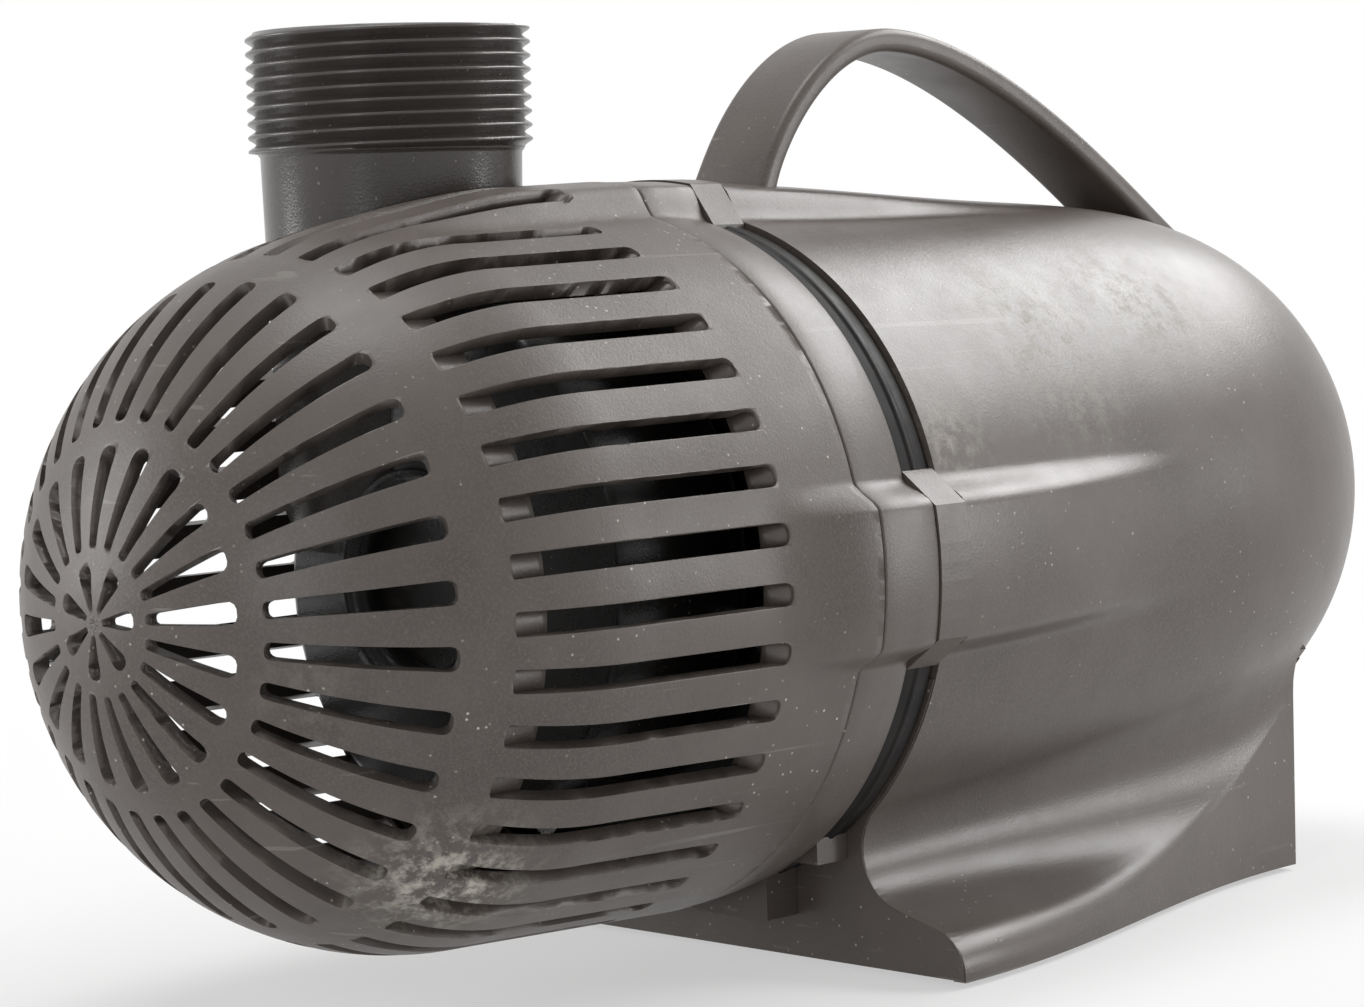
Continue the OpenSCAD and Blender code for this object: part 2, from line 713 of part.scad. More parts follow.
module motor_housing() {
    boss_r = scroll_r + lip_t / 2 - seat_gap;
    seat_s = back_s + plate_t + can_wall;
    spigot_r = cover_r - cover_wall - seat_gap;
    seat_rib_r = lobe_screw_pcr - lobe_screw_r - lip_t - seat_gap;
    core_room_s = core_s - end_turn_l - lip_t;
    color(dark_plastic) difference() {
        union() {
            at_station(back_s) cylinder(r = boss_r, h = neck_s - back_s + sink, $fn = 96);
            at_station(neck_s) cylinder(r = volute_flange_r, h = flange_s - neck_s + sink, $fn = 96);
            at_station(flange_s) linear_extrude(flange_t) {
                circle(r = flange_r, $fn = 96);
                lobes_outline();
                tab_outline();
            }
            at_station(flange_s + flange_t / 2) ring_rib();
            at_station(cover_s - sink) cylinder(r = spigot_r, h = cover_wall + sink, $fn = 96);
            at_station(cover_s - sink) cylinder(r = motor_r, h = motor_l + sink, $fn = 96);
            at_station(cover_s) around(seat_ribs) translate([0, -lip_t / 2, 0])
                cube([seat_rib_r, lip_t, 3 * cover_wall]);
            at_station(cover_s - sink) linear_extrude(front_wall + sink) tab_outline(-seat_gap);
        }
        at_station(back_s - cut) cylinder(r = plate_r + slide_gap, h = seat_s - back_s + cut, $fn = 96);
        at_station(seat_s - sink) cylinder(r = can_r + 2 * oring_r, h = 2 * oring_r + sink, $fn = 96);
        at_station(seat_s - sink) cylinder(r = can_r + slide_gap, h = cover_s - seat_s, $fn = 96);
        at_station(core_room_s)
            cylinder(r = motor_r - motor_wall, h = motor_end_s + cut - core_room_s, $fn = 96);
        at_station(neck_s) oring(volute_seal_r, slide_gap);
        at_station(neck_s - cut) on_circle(small_screw_turns, volute_screw_pcr)
            cylinder(r = small_screw_r, h = small_screw_l - volute_flange_t + cut + seat_gap, $fn = 24);
        at_station(motor_end_s - end_thread_l) on_circle(small_screw_turns, end_screw_pcr)
            cylinder(r = small_screw_r, h = end_thread_l + cut, $fn = 24);
        at_station(flange_s - cut) on_circle(lobe_turns, lobe_screw_pcr)
            cylinder(r = lobe_screw_r + slide_gap, h = flange_t + cover_wall + 2 * cut, $fn = 24);
    }
}

// The thin rib around the flange, in the groove between the ring and the cover
module ring_rib() {
    translate([0, 0, -flange_rib_w / 2]) cylinder(r = flange_r + flange_rib_h, h = flange_rib_w, $fn = 96);
}

module stator_core() {
    bore = can_r + slide_gap;
    color(iron) at_station(core_s) linear_extrude(core_l) difference() {
        circle(r = core_r, $fn = 96);
        circle(r = bore, $fn = 96);
        around(core_slots) translate([bore + core_slot_w / 2, -core_slot_w / 2])
            square([core_slot_h, core_slot_w]);
    }
}

module windings() {
    bar_w = core_slot_w - 2 * slide_gap;
    bar_r = can_r + core_slot_w / 2 + 2 * slide_gap;
    ring_in = can_r + 2 * slide_gap;
    ring_out = core_r - lip_t;
    ring_l = end_turn_l - seat_gap;
    bulge = end_turn_l / 3;
    color(copper) {
        at_station(core_s - ring_l) around(core_slots) translate([bar_r, -bar_w / 2, 0])
            cube([core_slot_h - 2 * slide_gap, bar_w, core_l + 2 * ring_l]);
        for (s = [core_s - end_turn_l, core_end_s + seat_gap]) at_station(s) rotate_extrude($fn = 96)
            polygon([[ring_in, 0], [ring_out - bulge, 0], [ring_out, bulge], [ring_out, ring_l - bulge],
                [ring_out - bulge, ring_l], [ring_in, ring_l]]);
    }
}

// A flat thermal cut-out laid on the rear end turns
switch_size = [15, 7, 3.6];
module thermal_switch() {
    color(steel) at_station(core_end_s + end_turn_l + slide_gap)
        translate([-switch_size[0] / 2, -(can_r + core_r) / 2 - switch_size[1] / 2, 0]) cube(switch_size);
}

cap_ribs = 8;
module end_cap() {
    spigot_r = motor_r - motor_wall - slide_gap;
    seat_r = gland_hex_r + seat_gap;
    color(dark_plastic) difference() {
        union() {
            at_station(motor_end_s) cylinder(r = motor_r, h = end_cap_t, $fn = 96);
            at_station(motor_end_s - spigot_l) cylinder(r = spigot_r, h = spigot_l + sink, $fn = 96);
            at_station(cap_end_s - sink) around(cap_ribs, 180 / cap_ribs) translate([lip_t, -lip_t / 2, 0])
                cube([motor_r - 4 * lip_t, lip_t, lip_t + sink]);
        }
        at_station(motor_end_s - spigot_l - cut)
            cylinder(r = spigot_r - motor_wall, h = spigot_l + cut, $fn = 96);
        at_station(motor_end_s - spigot_l / 2) oring(motor_r - motor_wall - oring_r, slide_gap);
        at_station(motor_end_s - cut) translate([0, gland_h, 0])
            cylinder(r = gland_r - lip_t, h = end_cap_t + 2 * cut, $fn = 48);
        at_station(cap_end_s) translate([0, gland_h, 0])
            cylinder(r = seat_r, h = lip_t + cut, $fn = 48);
        at_station(motor_end_s - cut) on_circle(small_screw_turns, end_screw_pcr)
            cylinder(r = small_screw_r + slide_gap, h = end_cap_t + 2 * cut, $fn = 24);
    }
}

module end_cap_seal() {
    color(rubber) at_station(motor_end_s - spigot_l / 2) oring(motor_r - motor_wall - oring_r);
}

module end_cap_screws() {
    color(steel) at_station(cap_end_s) on_circle(small_screw_turns, end_screw_pcr)
        mirror([0, 0, 1]) screw(small_screw_r, end_thread_l + end_cap_t - seat_gap);
}

gland_hex_r = gland_r + 1.5 * lip_t;
module cable_gland() {
    color(dark_plastic) at_station(cap_end_s) translate([0, gland_h, 0]) difference() {
        union() {
            translate([0, 0, -end_cap_t]) cylinder(r = gland_r - lip_t, h = end_cap_t + sink, $fn = 48);
            cylinder(r = gland_r, h = gland_l, $fn = 48);
            cylinder(r = gland_hex_r, h = 2 * lip_t, $fn = 6);
        }
        translate([0, 0, -end_cap_t - cut])
            cylinder(r = cable_r + slide_gap, h = end_cap_t + gland_l + 2 * cut, $fn = 48);
        translate([0, 0, gland_l / 2]) cylinder(r = cable_r + lip_t, h = gland_l, $fn = 48);
    }
}

module gland_seal() {
    color(rubber) at_station(cap_end_s + gland_l / 2) translate([0, gland_h, 0])
        ring(cable_r + lip_t - slide_gap, cable_r, gland_l / 2 - slide_gap);
}

module gland_nut() {
    color(dark_plastic) at_station(cap_end_s + gland_l / 2) translate([0, gland_h, 0]) difference() {
        cylinder(r = gland_hex_r, h = gland_l / 2 + lip_t, $fn = 6);
        translate([0, 0, -cut]) cylinder(r = gland_r, h = gland_l / 2 + cut, $fn = 48);
        cylinder(r = cable_r + slide_gap, h = gland_l, $fn = 48);
    }
}

// Radius and height of the cover along its length, u running from 0 to 1
shoulder_share = 0.46;
end_power = 3.4;
end_root = 3;
function fall(u) = max(0, (u - shoulder_share) / (1 - shoulder_share));
function cover_radius(u) = (cover_r - cover_taper * u)
    * pow(max(0, 1 - pow(fall(u), end_power)), 1 / end_root);
tilt = atan(cover_rise / cover_l);
cover_shares = [0, 0.2, 0.4, 0.55, 0.64, 0.71, 0.77, 0.82, 0.86, 0.895, 0.925, 0.95, 0.97,
    0.985, 0.995];
cover_lead = cover_rise + cut;

// The cover's round form, inset by g, tilted a little so that its rear rises
module cover_form(g) {
    last = cover_shares[len(cover_shares) - 1];
    intersection() {
        at_station(cover_s) rotate([tilt, 0, 0]) rotate_extrude($fn = 96)
            polygon(concat([[0, -cover_lead], [cover_r - g, -cover_lead]],
                [for (u = cover_shares) [cover_radius(u) - g * (1 - 0.3 * fall(u)), u * (cover_l - g)]],
                [[0, g > 0 ? last * (cover_l - g) : cover_l]]));
        at_station(cover_s - (g > 0 ? cut : 0)) translate([-2 * cover_r, -2 * cover_r, 0])
            cube([4 * cover_r, 4 * cover_r, cover_l + 2 * cut]);
    }
}

// A closed solid through rings that have the same even number of points.
// Each end is laid in strips from the first half of its ring to the second.
module loft(rings) {
    n = len(rings[0]);
    m = len(rings);
    last = (m - 1) * n;
    polyhedron([for (r = rings) each r], concat(
        [for (i = [0:n / 2 - 2]) [n - 1 - i, n - 2 - i, i + 1, i]],
        [for (j = [0:m - 2]) for (i = [0:n - 1]) let (a = j * n + i, b = j * n + (i + 1) % n)
            each [[a, b, b + n], [a, b + n, a + n]]],
        [for (i = [0:n / 2 - 2]) [last + i, last + i + 1, last + n - 2 - i, last + n - 1 - i]]));
}

// A ridge of length l that fades to the rear, at angle a above the +X side
ridge_steps = 7;
foot_a = asin(lobe_foot_w / cover_r);
crown_a = asin(lobe_crown_w / lobe_r);
module cover_ridge(a, l) {
    loft([for (j = [0:ridge_steps]) let (
        u = j / ridge_steps * l / cover_l,
        r = cover_radius(u),
        top = r - sink + (lobe_r - cover_r + sink) * (1 - smooth(j / ridge_steps)),
        y = cover_s + u * cover_l - overall_l / 2)
        [for (p = [[-crown_a, top], [-crown_a / 3, top], [crown_a / 3, top], [crown_a, top],
            [foot_a, r - cut], [-foot_a, r - cut]])
            [p[1] * cos(a + p[0]), y, axis_h + cover_rise * u + p[1] * sin(a + p[0])]]]);
}

// One half of the skirt's outline at a station, from the round form down,
// inset by g
flare_steps = 5;
flare_end_share = 0.96;
lean_share = 0.95;
waist_growth_share = 0.05;
function skirt_half(s, g) = let (
    v = flare_end_share * smooth((s - cover_s) / base_l),
    u = (s - cover_s) / cover_l,
    r = cover_radius(u) - g,
    c = cover_rise * u,
    flare = foot_flare * (1 - v),
    rc = valley_r + valley_growth * v + g,
    rv = shoulder_r - g,
    lean = min(flare_angle * sqrt(1 - v), lean_share * acos(max(-1, 1 - flare / (rc + rv)))),
    straight = (flare - (rc + rv) * (1 - cos(lean))) / sin(lean),
    cx = waist_w * (1 + waist_growth_share * v) - g + rc,
    reach = r + rc - sink,
    cz = c - sqrt(reach * reach - cx * cx),
    a0 = atan2(c - cz, -cx),
    kx = cx - rc * cos(lean) + straight * sin(lean) - rv * cos(lean),
    kz = cz - rc * sin(lean) - straight * cos(lean) - rv * sin(lean))
    concat([for (i = [0:flare_steps]) let (a = a0 + (180 + lean - a0) * i / flare_steps)
            [cx + rc * cos(a), cz + rc * sin(a)]],
        [for (i = [0:flare_steps]) let (a = lean * (1 - i / flare_steps))
            [kx + rv * cos(a), kz + rv * sin(a)]]);

function skirt_ring(s, g, floor_z) = let (h = skirt_half(s, g), y = s - overall_l / 2, n = len(h))
    concat([for (p = h) [-p[0], y, axis_h + p[1]]], [[-h[n - 1][0], y, floor_z]],
        [[h[n - 1][0], y, floor_z]], [for (i = [n - 1:-1:0]) [h[i][0], y, axis_h + h[i][1]]]);

skirt_steps = 8;
module skirt(s1, s2, g, floor_z) {
    loft([for (j = [0:skirt_steps]) skirt_ring(s1 + (s2 - s1) * j / skirt_steps, g, floor_z)]);
}

// The strap's centre line as stations and heights, in two smooth arcs
function curve(p, t) = let (v = 1 - t)
    v * v * v * p[0] + 3 * v * v * t * p[1] + 3 * v * t * t * p[2] + t * t * t * p[3];
strap_front_s = cover_s + strap_front_l;
strap_crown_s = strap_front_s + strap_rise_l;
strap_rear_s = strap_crown_s + strap_fall_l;
strap_foot_h = cover_r - cover_wall / 2;
strap_tail_h = cover_radius((strap_rear_s - cover_s) / cover_l) + cover_rise - cover_wall;
strap_h = strap_crown_h - strap_foot_h;
strap_drop = strap_crown_h - strap_tail_h;
strap_up = [[strap_front_s, strap_foot_h],
    [strap_front_s + strap_rise_l * 0.09, strap_foot_h + strap_h * 0.42],
    [strap_front_s + strap_rise_l * 0.5, strap_crown_h], [strap_crown_s, strap_crown_h]];
strap_down = [[strap_crown_s, strap_crown_h], [strap_crown_s + strap_fall_l * 0.24, strap_crown_h],
    [strap_crown_s + strap_fall_l * 0.6, strap_crown_h - strap_drop * 0.38],
    [strap_rear_s, strap_tail_h]];
strap_steps = 8;
strap_line = concat([for (i = [0:strap_steps - 1]) curve(strap_up, i / strap_steps)],
    [for (i = [0:strap_steps]) curve(strap_down, i / strap_steps)]);
strap_corner_share = 0.34;

// The strap's section around its centre line
function strap_section() = let (w = strap_w / 2, t = strap_t / 2, k = strap_t * strap_corner_share)
    [[w - k, t], [w, t - k], [w, k - t], [w - k, -t], [k - w, -t], [-w, k - t], [-w, t - k], [k - w, t]];

module handle_strap() {
    n = len(strap_line);
    loft([for (i = [0:n - 1]) let (
        p = strap_line[i],
        d = strap_line[min(n - 1, i + 1)] - strap_line[max(0, i - 1)],
        e = d / norm(d))
        [for (q = strap_section())
            [-q[0], p[0] - e[1] * q[1] - overall_l / 2, axis_h + p[1] + e[0] * q[1]]]]);
}

// Places of the rubber pads under the base
pad_post_r = pad_d / 2 + lip_t;
function foot_half(s) = let (h = skirt_half(s, 0)) h[len(h) - 1][0];
pad_inset = front_wall + pad_post_r - sink;
pad_places = [for (s = [cover_s + pad_inset, base_end_s - pad_inset]) for (m = [-1, 1])
    [m * (foot_half(s) - cover_wall - pad_post_r + sink), s - overall_l / 2]];
boss_l = 10 * cover_wall;
hole_l = lobe_screw_l - ring_w - flange_t + head_clear_l + seat_gap;

module cover_shell() {
    color(plastic) difference() {
        union() {
            cover_form(0);
            cover_ridge(0, side_ridge_l);
            cover_ridge(90, top_ridge_l);
            cover_ridge(180, side_ridge_l);
            skirt(cover_s, base_end_s, 0, pad_proud);
            handle_strap();
        }
        difference() {
            cover_form(cover_wall);
            at_station(cover_s + cover_wall + seat_gap) on_circle(lobe_turns, lobe_screw_pcr)
                cylinder(r = lobe_screw_r + lip_t, h = boss_l, $fn = 24);
        }
        difference() {
            skirt(cover_s + front_wall, base_end_s - front_wall, cover_wall, -cut);
            for (p = pad_places) translate([p[0], p[1], 0])
                cylinder(r = pad_post_r, h = axis_h / 2, $fn = 24);
        }
        at_station(cover_s - cut) on_circle(lobe_turns, lobe_screw_pcr)
            cylinder(r = lobe_screw_r, h = hole_l + cut, $fn = 24);
        at_station(cover_s - cut) linear_extrude(front_wall + 2 * cut) tab_outline(seat_gap);
        at_station(overall_l - 8 * cover_wall) translate([0, gland_h, 0])
            cylinder(r = grommet_r, h = 10 * cover_wall, $fn = 32);
        for (p = pad_places) translate([p[0], p[1], 0]) {
            cylinder(d = pad_d + 2 * slide_gap, h = pad_t, $fn = 24);
            cylinder(r = pad_d / 5, h = pad_t + pad_stem_l, $fn = 24);
        }
    }
}

module cord_grommet() {
    color(rubber) at_station(overall_l - 5 * cover_wall) translate([0, gland_h, 0]) difference() {
        cylinder(r = grommet_r, h = 3 * cover_wall, $fn = 48);
        translate([0, 0, -cut]) cylinder(r = cable_r, h = 3 * cover_wall + 2 * cut, $fn = 48);
    }
}

module foot_pads() {
    color(rubber) for (p = pad_places) translate([p[0], p[1], 0]) {
        cylinder(d = pad_d, h = pad_t, $fn = 32);
        cylinder(r = pad_d / 5, h = pad_t + pad_stem_l - seat_gap, $fn = 24);
    }
}

strainer_cage();
volute();
volute_seal();
volute_screws();
impeller();
impeller_nut();
shaft();
rotor_magnet();
front_washer();
rear_washer();
front_bush();
rear_bush();
bush_boot();
bearing_plate();
rotor_can();
can_seal();
mounting_ring();
lobe_screws();
motor_housing();
stator_core();
windings();
thermal_switch();
end_cap();
end_cap_seal();
end_cap_screws();
cable_gland();
gland_nut();
gland_seal();
cord_grommet();
cover_shell();
foot_pads();
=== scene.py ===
import math

import bmesh
import bpy
import numpy as np
from mathutils import Matrix, Vector

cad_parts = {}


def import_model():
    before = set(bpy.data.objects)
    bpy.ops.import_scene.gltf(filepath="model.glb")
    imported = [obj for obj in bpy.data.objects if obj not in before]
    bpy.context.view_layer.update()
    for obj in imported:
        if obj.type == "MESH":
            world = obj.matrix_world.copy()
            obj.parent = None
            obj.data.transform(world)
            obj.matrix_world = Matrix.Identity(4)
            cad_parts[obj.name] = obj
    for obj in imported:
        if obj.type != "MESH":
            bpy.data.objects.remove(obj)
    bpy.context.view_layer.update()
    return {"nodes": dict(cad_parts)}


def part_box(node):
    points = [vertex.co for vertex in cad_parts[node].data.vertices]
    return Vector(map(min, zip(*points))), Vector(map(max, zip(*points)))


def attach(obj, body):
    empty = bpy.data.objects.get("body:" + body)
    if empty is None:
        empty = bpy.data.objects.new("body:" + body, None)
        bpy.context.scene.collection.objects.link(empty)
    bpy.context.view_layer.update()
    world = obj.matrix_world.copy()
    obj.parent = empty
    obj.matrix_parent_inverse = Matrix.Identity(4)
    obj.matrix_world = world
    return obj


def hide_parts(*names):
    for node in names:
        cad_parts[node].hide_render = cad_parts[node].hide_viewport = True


# A submersible waterfall pump. Sizes are in millimetres: along the pump's axis
# (station s from the nose), to its +X side (x) and above the axis (z).
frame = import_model()
nodes = frame["nodes"]

MM = 0.001


def span(node):
    """The box of a CAD node in millimetres."""
    low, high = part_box(node)
    return np.array(low) / MM, np.array(high) / MM


cage_low, cage_high = span("strainer_cage")
cover_low, cover_high = span("cover_shell")
shaft_low, shaft_high = span("shaft")
NOSE_Y = cage_low[1]
AXIS_Z = (shaft_low[2] + shaft_high[2]) / 2
CAGE_L = cage_high[1] - NOSE_Y
COVER_S = cover_low[1] - NOSE_Y
TOTAL_L = cover_high[1] - NOSE_Y
FLOOR_Z = cover_low[2] - AXIS_Z

# Skins keep INSET inside the CAD box. SEAM is half the gap before the cover.
INSET = 0.15
SEAM = 0.4

CAGE_R = 58.3
CAGE_RIM_R = 59.8
CAGE_WALL = 2.6
RIM_GAP = 0.45

# The lobes' widths are measured along an arc of radius LOBE_ARC_R.
LOBE_R = cage_high[0] - INSET
LOBE_ARC_R = 60.0
LOBE_FOOT = 15.6
LOBE_CROWN = 10.0
TOP_ANGLE = 90.0
LOBE_ANGLES = (0.0, TOP_ANGLE, 180.0)
HALFWAY = 45.0

OUTLET_X = -24.3
OUTLET_S = 83.1
NECK_R = 21.9
NOTCH_R = 22.6
THREAD_R = 23.8
THREAD_DEPTH = 1.35
THREAD_PITCH = 2.309
THREAD_TOP = 90.3
THREAD_L = 20.1
BORE_R = 18.8

COVER_R = 58.7
COVER_WALL = 2.6
BASE_L = 121.4
BASE_END_S = COVER_S + BASE_L

# Rounded edges: their width, the least angle that counts as an edge, and their segments.
CAGE_EDGE = (0.32, 50.0, 2)
RING_EDGE = (0.5, 40.0, 3)
FLANGE_EDGE = (0.25, 40.0, 3)
WALL_EDGE = (0.4, 40.0, 2)
TUBE_EDGE = (0.25, 30.0, 2)
SLEEVE_EDGE = (0.4, 30.0, 2)


def smooth(u):
    """A soft step from 0 to 1."""
    u = np.clip(u, 0.0, 1.0)
    return u * u * (3 - 2 * u)


def world(x, s, z):
    """Points of the object in metres from x, station and height arrays."""
    x, s, z = np.broadcast_arrays(x, s, z)
    return np.stack([x, s + NOSE_Y, z + AXIS_Z], axis=-1) * MM


def around(radius, station, angle):
    """Points at a radius and an angle in degrees from +X towards up."""
    a = np.radians(angle)
    return world(radius * np.cos(a), station, radius * np.sin(a))


# Meshes.
def new_object(name, data):
    """An object in the scene for a mesh, a light or a camera."""
    obj = bpy.data.objects.new(name, data)
    bpy.context.scene.collection.objects.link(obj)
    return obj


def make(name, points, faces, body="pump", shade=True):
    """A mesh object from points in metres and faces, riding on a body."""
    mesh = bpy.data.meshes.new(name)
    mesh.from_pydata(np.asarray(points).reshape(-1, 3).tolist(), [], faces)
    mesh.update()
    obj = new_object(name, mesh)
    if shade:
        mesh.shade_smooth()
    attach(obj, body)
    return obj


def grid_faces(rows, cols, wrap=False, closed=False, skip=None, start=0, flip=False):
    """Quads of a grid of points. Rows can run round, and the last row can meet the first."""
    faces = []
    for i in range(rows if closed else rows - 1):
        near_row = start + i * cols
        far_row = start + (i + 1) % rows * cols
        for j in range(cols if wrap else cols - 1):
            if skip is not None and skip[i, j]:
                continue
            k = (j + 1) % cols
            quad = (near_row + j, near_row + k, far_row + k, far_row + j)
            faces.append(quad[::-1] if flip else quad)
    return faces


def capped_faces(rows, cols):
    """Quads of a tube of points with a flat face at each end."""
    first = tuple(range(cols))
    last = tuple((rows - 1) * cols + i for i in range(cols))
    return grid_faces(rows, cols, wrap=True) + [first[::-1], last]


class Sheet:
    """Points and faces of one skin, which grow piece by piece."""

    def __init__(self):
        self.points = []
        self.faces = []
        self.count = 0

    def add(self, points):
        """Adds points in metres and returns their numbers."""
        points = np.asarray(points).reshape(-1, 3)
        self.points.append(points)
        self.count += len(points)
        return list(range(self.count - len(points), self.count))

    def strip(self, first, second, closed=False):
        """Quads between two rows with as many points each."""
        n = len(first)
        self.faces += [(first[i], first[(i + 1) % n], second[(i + 1) % n], second[i])
                       for i in range(n if closed else n - 1)]

    def fan(self, ring, tip):
        """Triangles between a closed row and one point."""
        n = len(ring)
        self.faces += [(ring[i], ring[(i + 1) % n], tip) for i in range(n)]

    def build(self, name):
        """Makes the mesh object."""
        return make(name, np.concatenate(self.points), self.faces)


def thicken(obj, thickness):
    """Gives a sheet its wall on the inner side."""
    wall = obj.modifiers.new("wall", "SOLIDIFY")
    wall.thickness = thickness * MM
    wall.offset = -1.0
    wall.use_even_offset = False


def soften(obj, width, angle, segments):
    """Rounds the edges that turn by more than an angle in degrees."""
    edge = obj.modifiers.new("edges", "BEVEL")
    edge.width = width * MM
    edge.segments = segments
    edge.angle_limit = math.radians(angle)


def settle(obj):
    """Turns an object's modifiers into its mesh."""
    graph = bpy.context.evaluated_depsgraph_get()
    mesh = bpy.data.meshes.new_from_object(obj.evaluated_get(graph))
    obj.modifiers.clear()
    old = obj.data
    obj.data = mesh
    bpy.data.meshes.remove(old)


def cut(obj, low, high):
    """Takes the form between two outlines away from an object."""
    mesh = bpy.data.meshes.new("cutter")
    mesh.from_pydata(np.concatenate([low, high]).tolist(), [], capped_faces(2, len(low)))
    cutter = new_object("cutter", mesh)
    mod = obj.modifiers.new("cut", "BOOLEAN")
    mod.operation = "DIFFERENCE"
    mod.solver = "EXACT"
    mod.object = cutter
    settle(obj)
    bpy.data.objects.remove(cutter)
    bpy.data.meshes.remove(mesh)


# Two points closer than this, in metres, count as one where a plane cuts a sheet.
CUT_DISTANCE = 1e-7


def cut_round(sheet, centre, first, second, radius, turns, reach):
    """Opens a sheet inside planes set round a line, where reach says a face may go."""
    form = bmesh.new()
    form.from_mesh(sheet.data)
    inside = [f for f in form.faces if reach(f.calc_center_median())]
    for turn in turns:
        out = first * math.cos(math.radians(turn)) + second * math.sin(math.radians(turn))
        edge = centre + out * radius * MM
        geom = set(inside)
        for f in inside:
            geom.update(f.edges)
            geom.update(f.verts)
        found = bmesh.ops.bisect_plane(form, geom=list(geom), dist=CUT_DISTANCE, plane_co=edge, plane_no=out)
        inside = [f for f in found["geom"] if isinstance(f, bmesh.types.BMFace)
                  and (f.calc_center_median() - edge).dot(out) < 0]
    bmesh.ops.delete(form, geom=inside, context="FACES")
    form.to_mesh(sheet.data)
    form.free()


# Lobes.
def turn_between(angle, centre):
    """Degrees between two directions round the axis, from 0 to 180."""
    return np.abs((angle - centre + 180.0) % 360.0 - 180.0)


def lobe_share(angle):
    """How much of a lobe's height stands at each angle, 0 between lobes."""
    share = np.zeros(np.shape(angle))
    for centre in LOBE_ANGLES:
        reach = LOBE_ARC_R * np.radians(turn_between(angle, centre))
        share = np.maximum(share, smooth((LOBE_FOOT - reach) / (LOBE_FOOT - LOBE_CROWN)))
    return share


def on_top(angle):
    """Whether an angle belongs to the top lobe rather than to a side lobe."""
    return turn_between(angle, TOP_ANGLE) < HALFWAY


# Stations between which a lobe rises out of the cage.
SIDE_RAMP = (84.0, 106.0)
TOP_RAMP = (44.0, 84.0)


def ramp_share(station, ramp):
    """How much of a lobe has risen at a station."""
    return smooth((station - ramp[0]) / (ramp[1] - ramp[0]))


def cage_lift(station, angle):
    """Height of the cage's ridges above its round form."""
    risen = np.where(on_top(angle), ramp_share(station, TOP_RAMP), ramp_share(station, SIDE_RAMP))
    return (LOBE_R - CAGE_RIM_R) * lobe_share(angle) * risen


# Cage.
QUARTER = CAGE_R * math.pi / 2
SLOT_COLS = np.array([-1, -0.9, -0.66, -0.3, 0.3, 0.66, 0.9, 1])
RIB_COLS = np.array([0.07, 0.4, 1.0])
FLAT_END_SHARE = 0.25
END_LEAD = 0.5
ROW_STEP = 1.6


def cage_station(m):
    """Station and radius at a distance m along the cage from its nose."""
    dome = m <= QUARTER
    phi = np.where(dome, m / CAGE_R, math.pi / 2)
    s = np.where(dome, CAGE_R * (1 - np.cos(phi)), CAGE_R + m - QUARTER)
    slope = (CAGE_RIM_R - CAGE_R) / (CAGE_L - CAGE_R)
    r = np.where(dome, CAGE_R * np.sin(phi), CAGE_R + (s - CAGE_R) * slope)
    return s, r


def along_radius(r):
    """Distance along the dome from the nose out to a radius."""
    return CAGE_R * math.asin(r / CAGE_R)


def along_station(s):
    """Distance along the cage from the nose back to a station."""
    return CAGE_R * math.acos(1 - s / CAGE_R) if s < CAGE_R else QUARTER + s - CAGE_R


def end_bulge(share):
    """How far a slot's rounded end reaches at a share of its half width."""
    bend = max(0.0, (abs(share) - FLAT_END_SHARE) / (1 - FLAT_END_SHARE))
    return math.sqrt(max(0.0, 1 - bend ** 2))


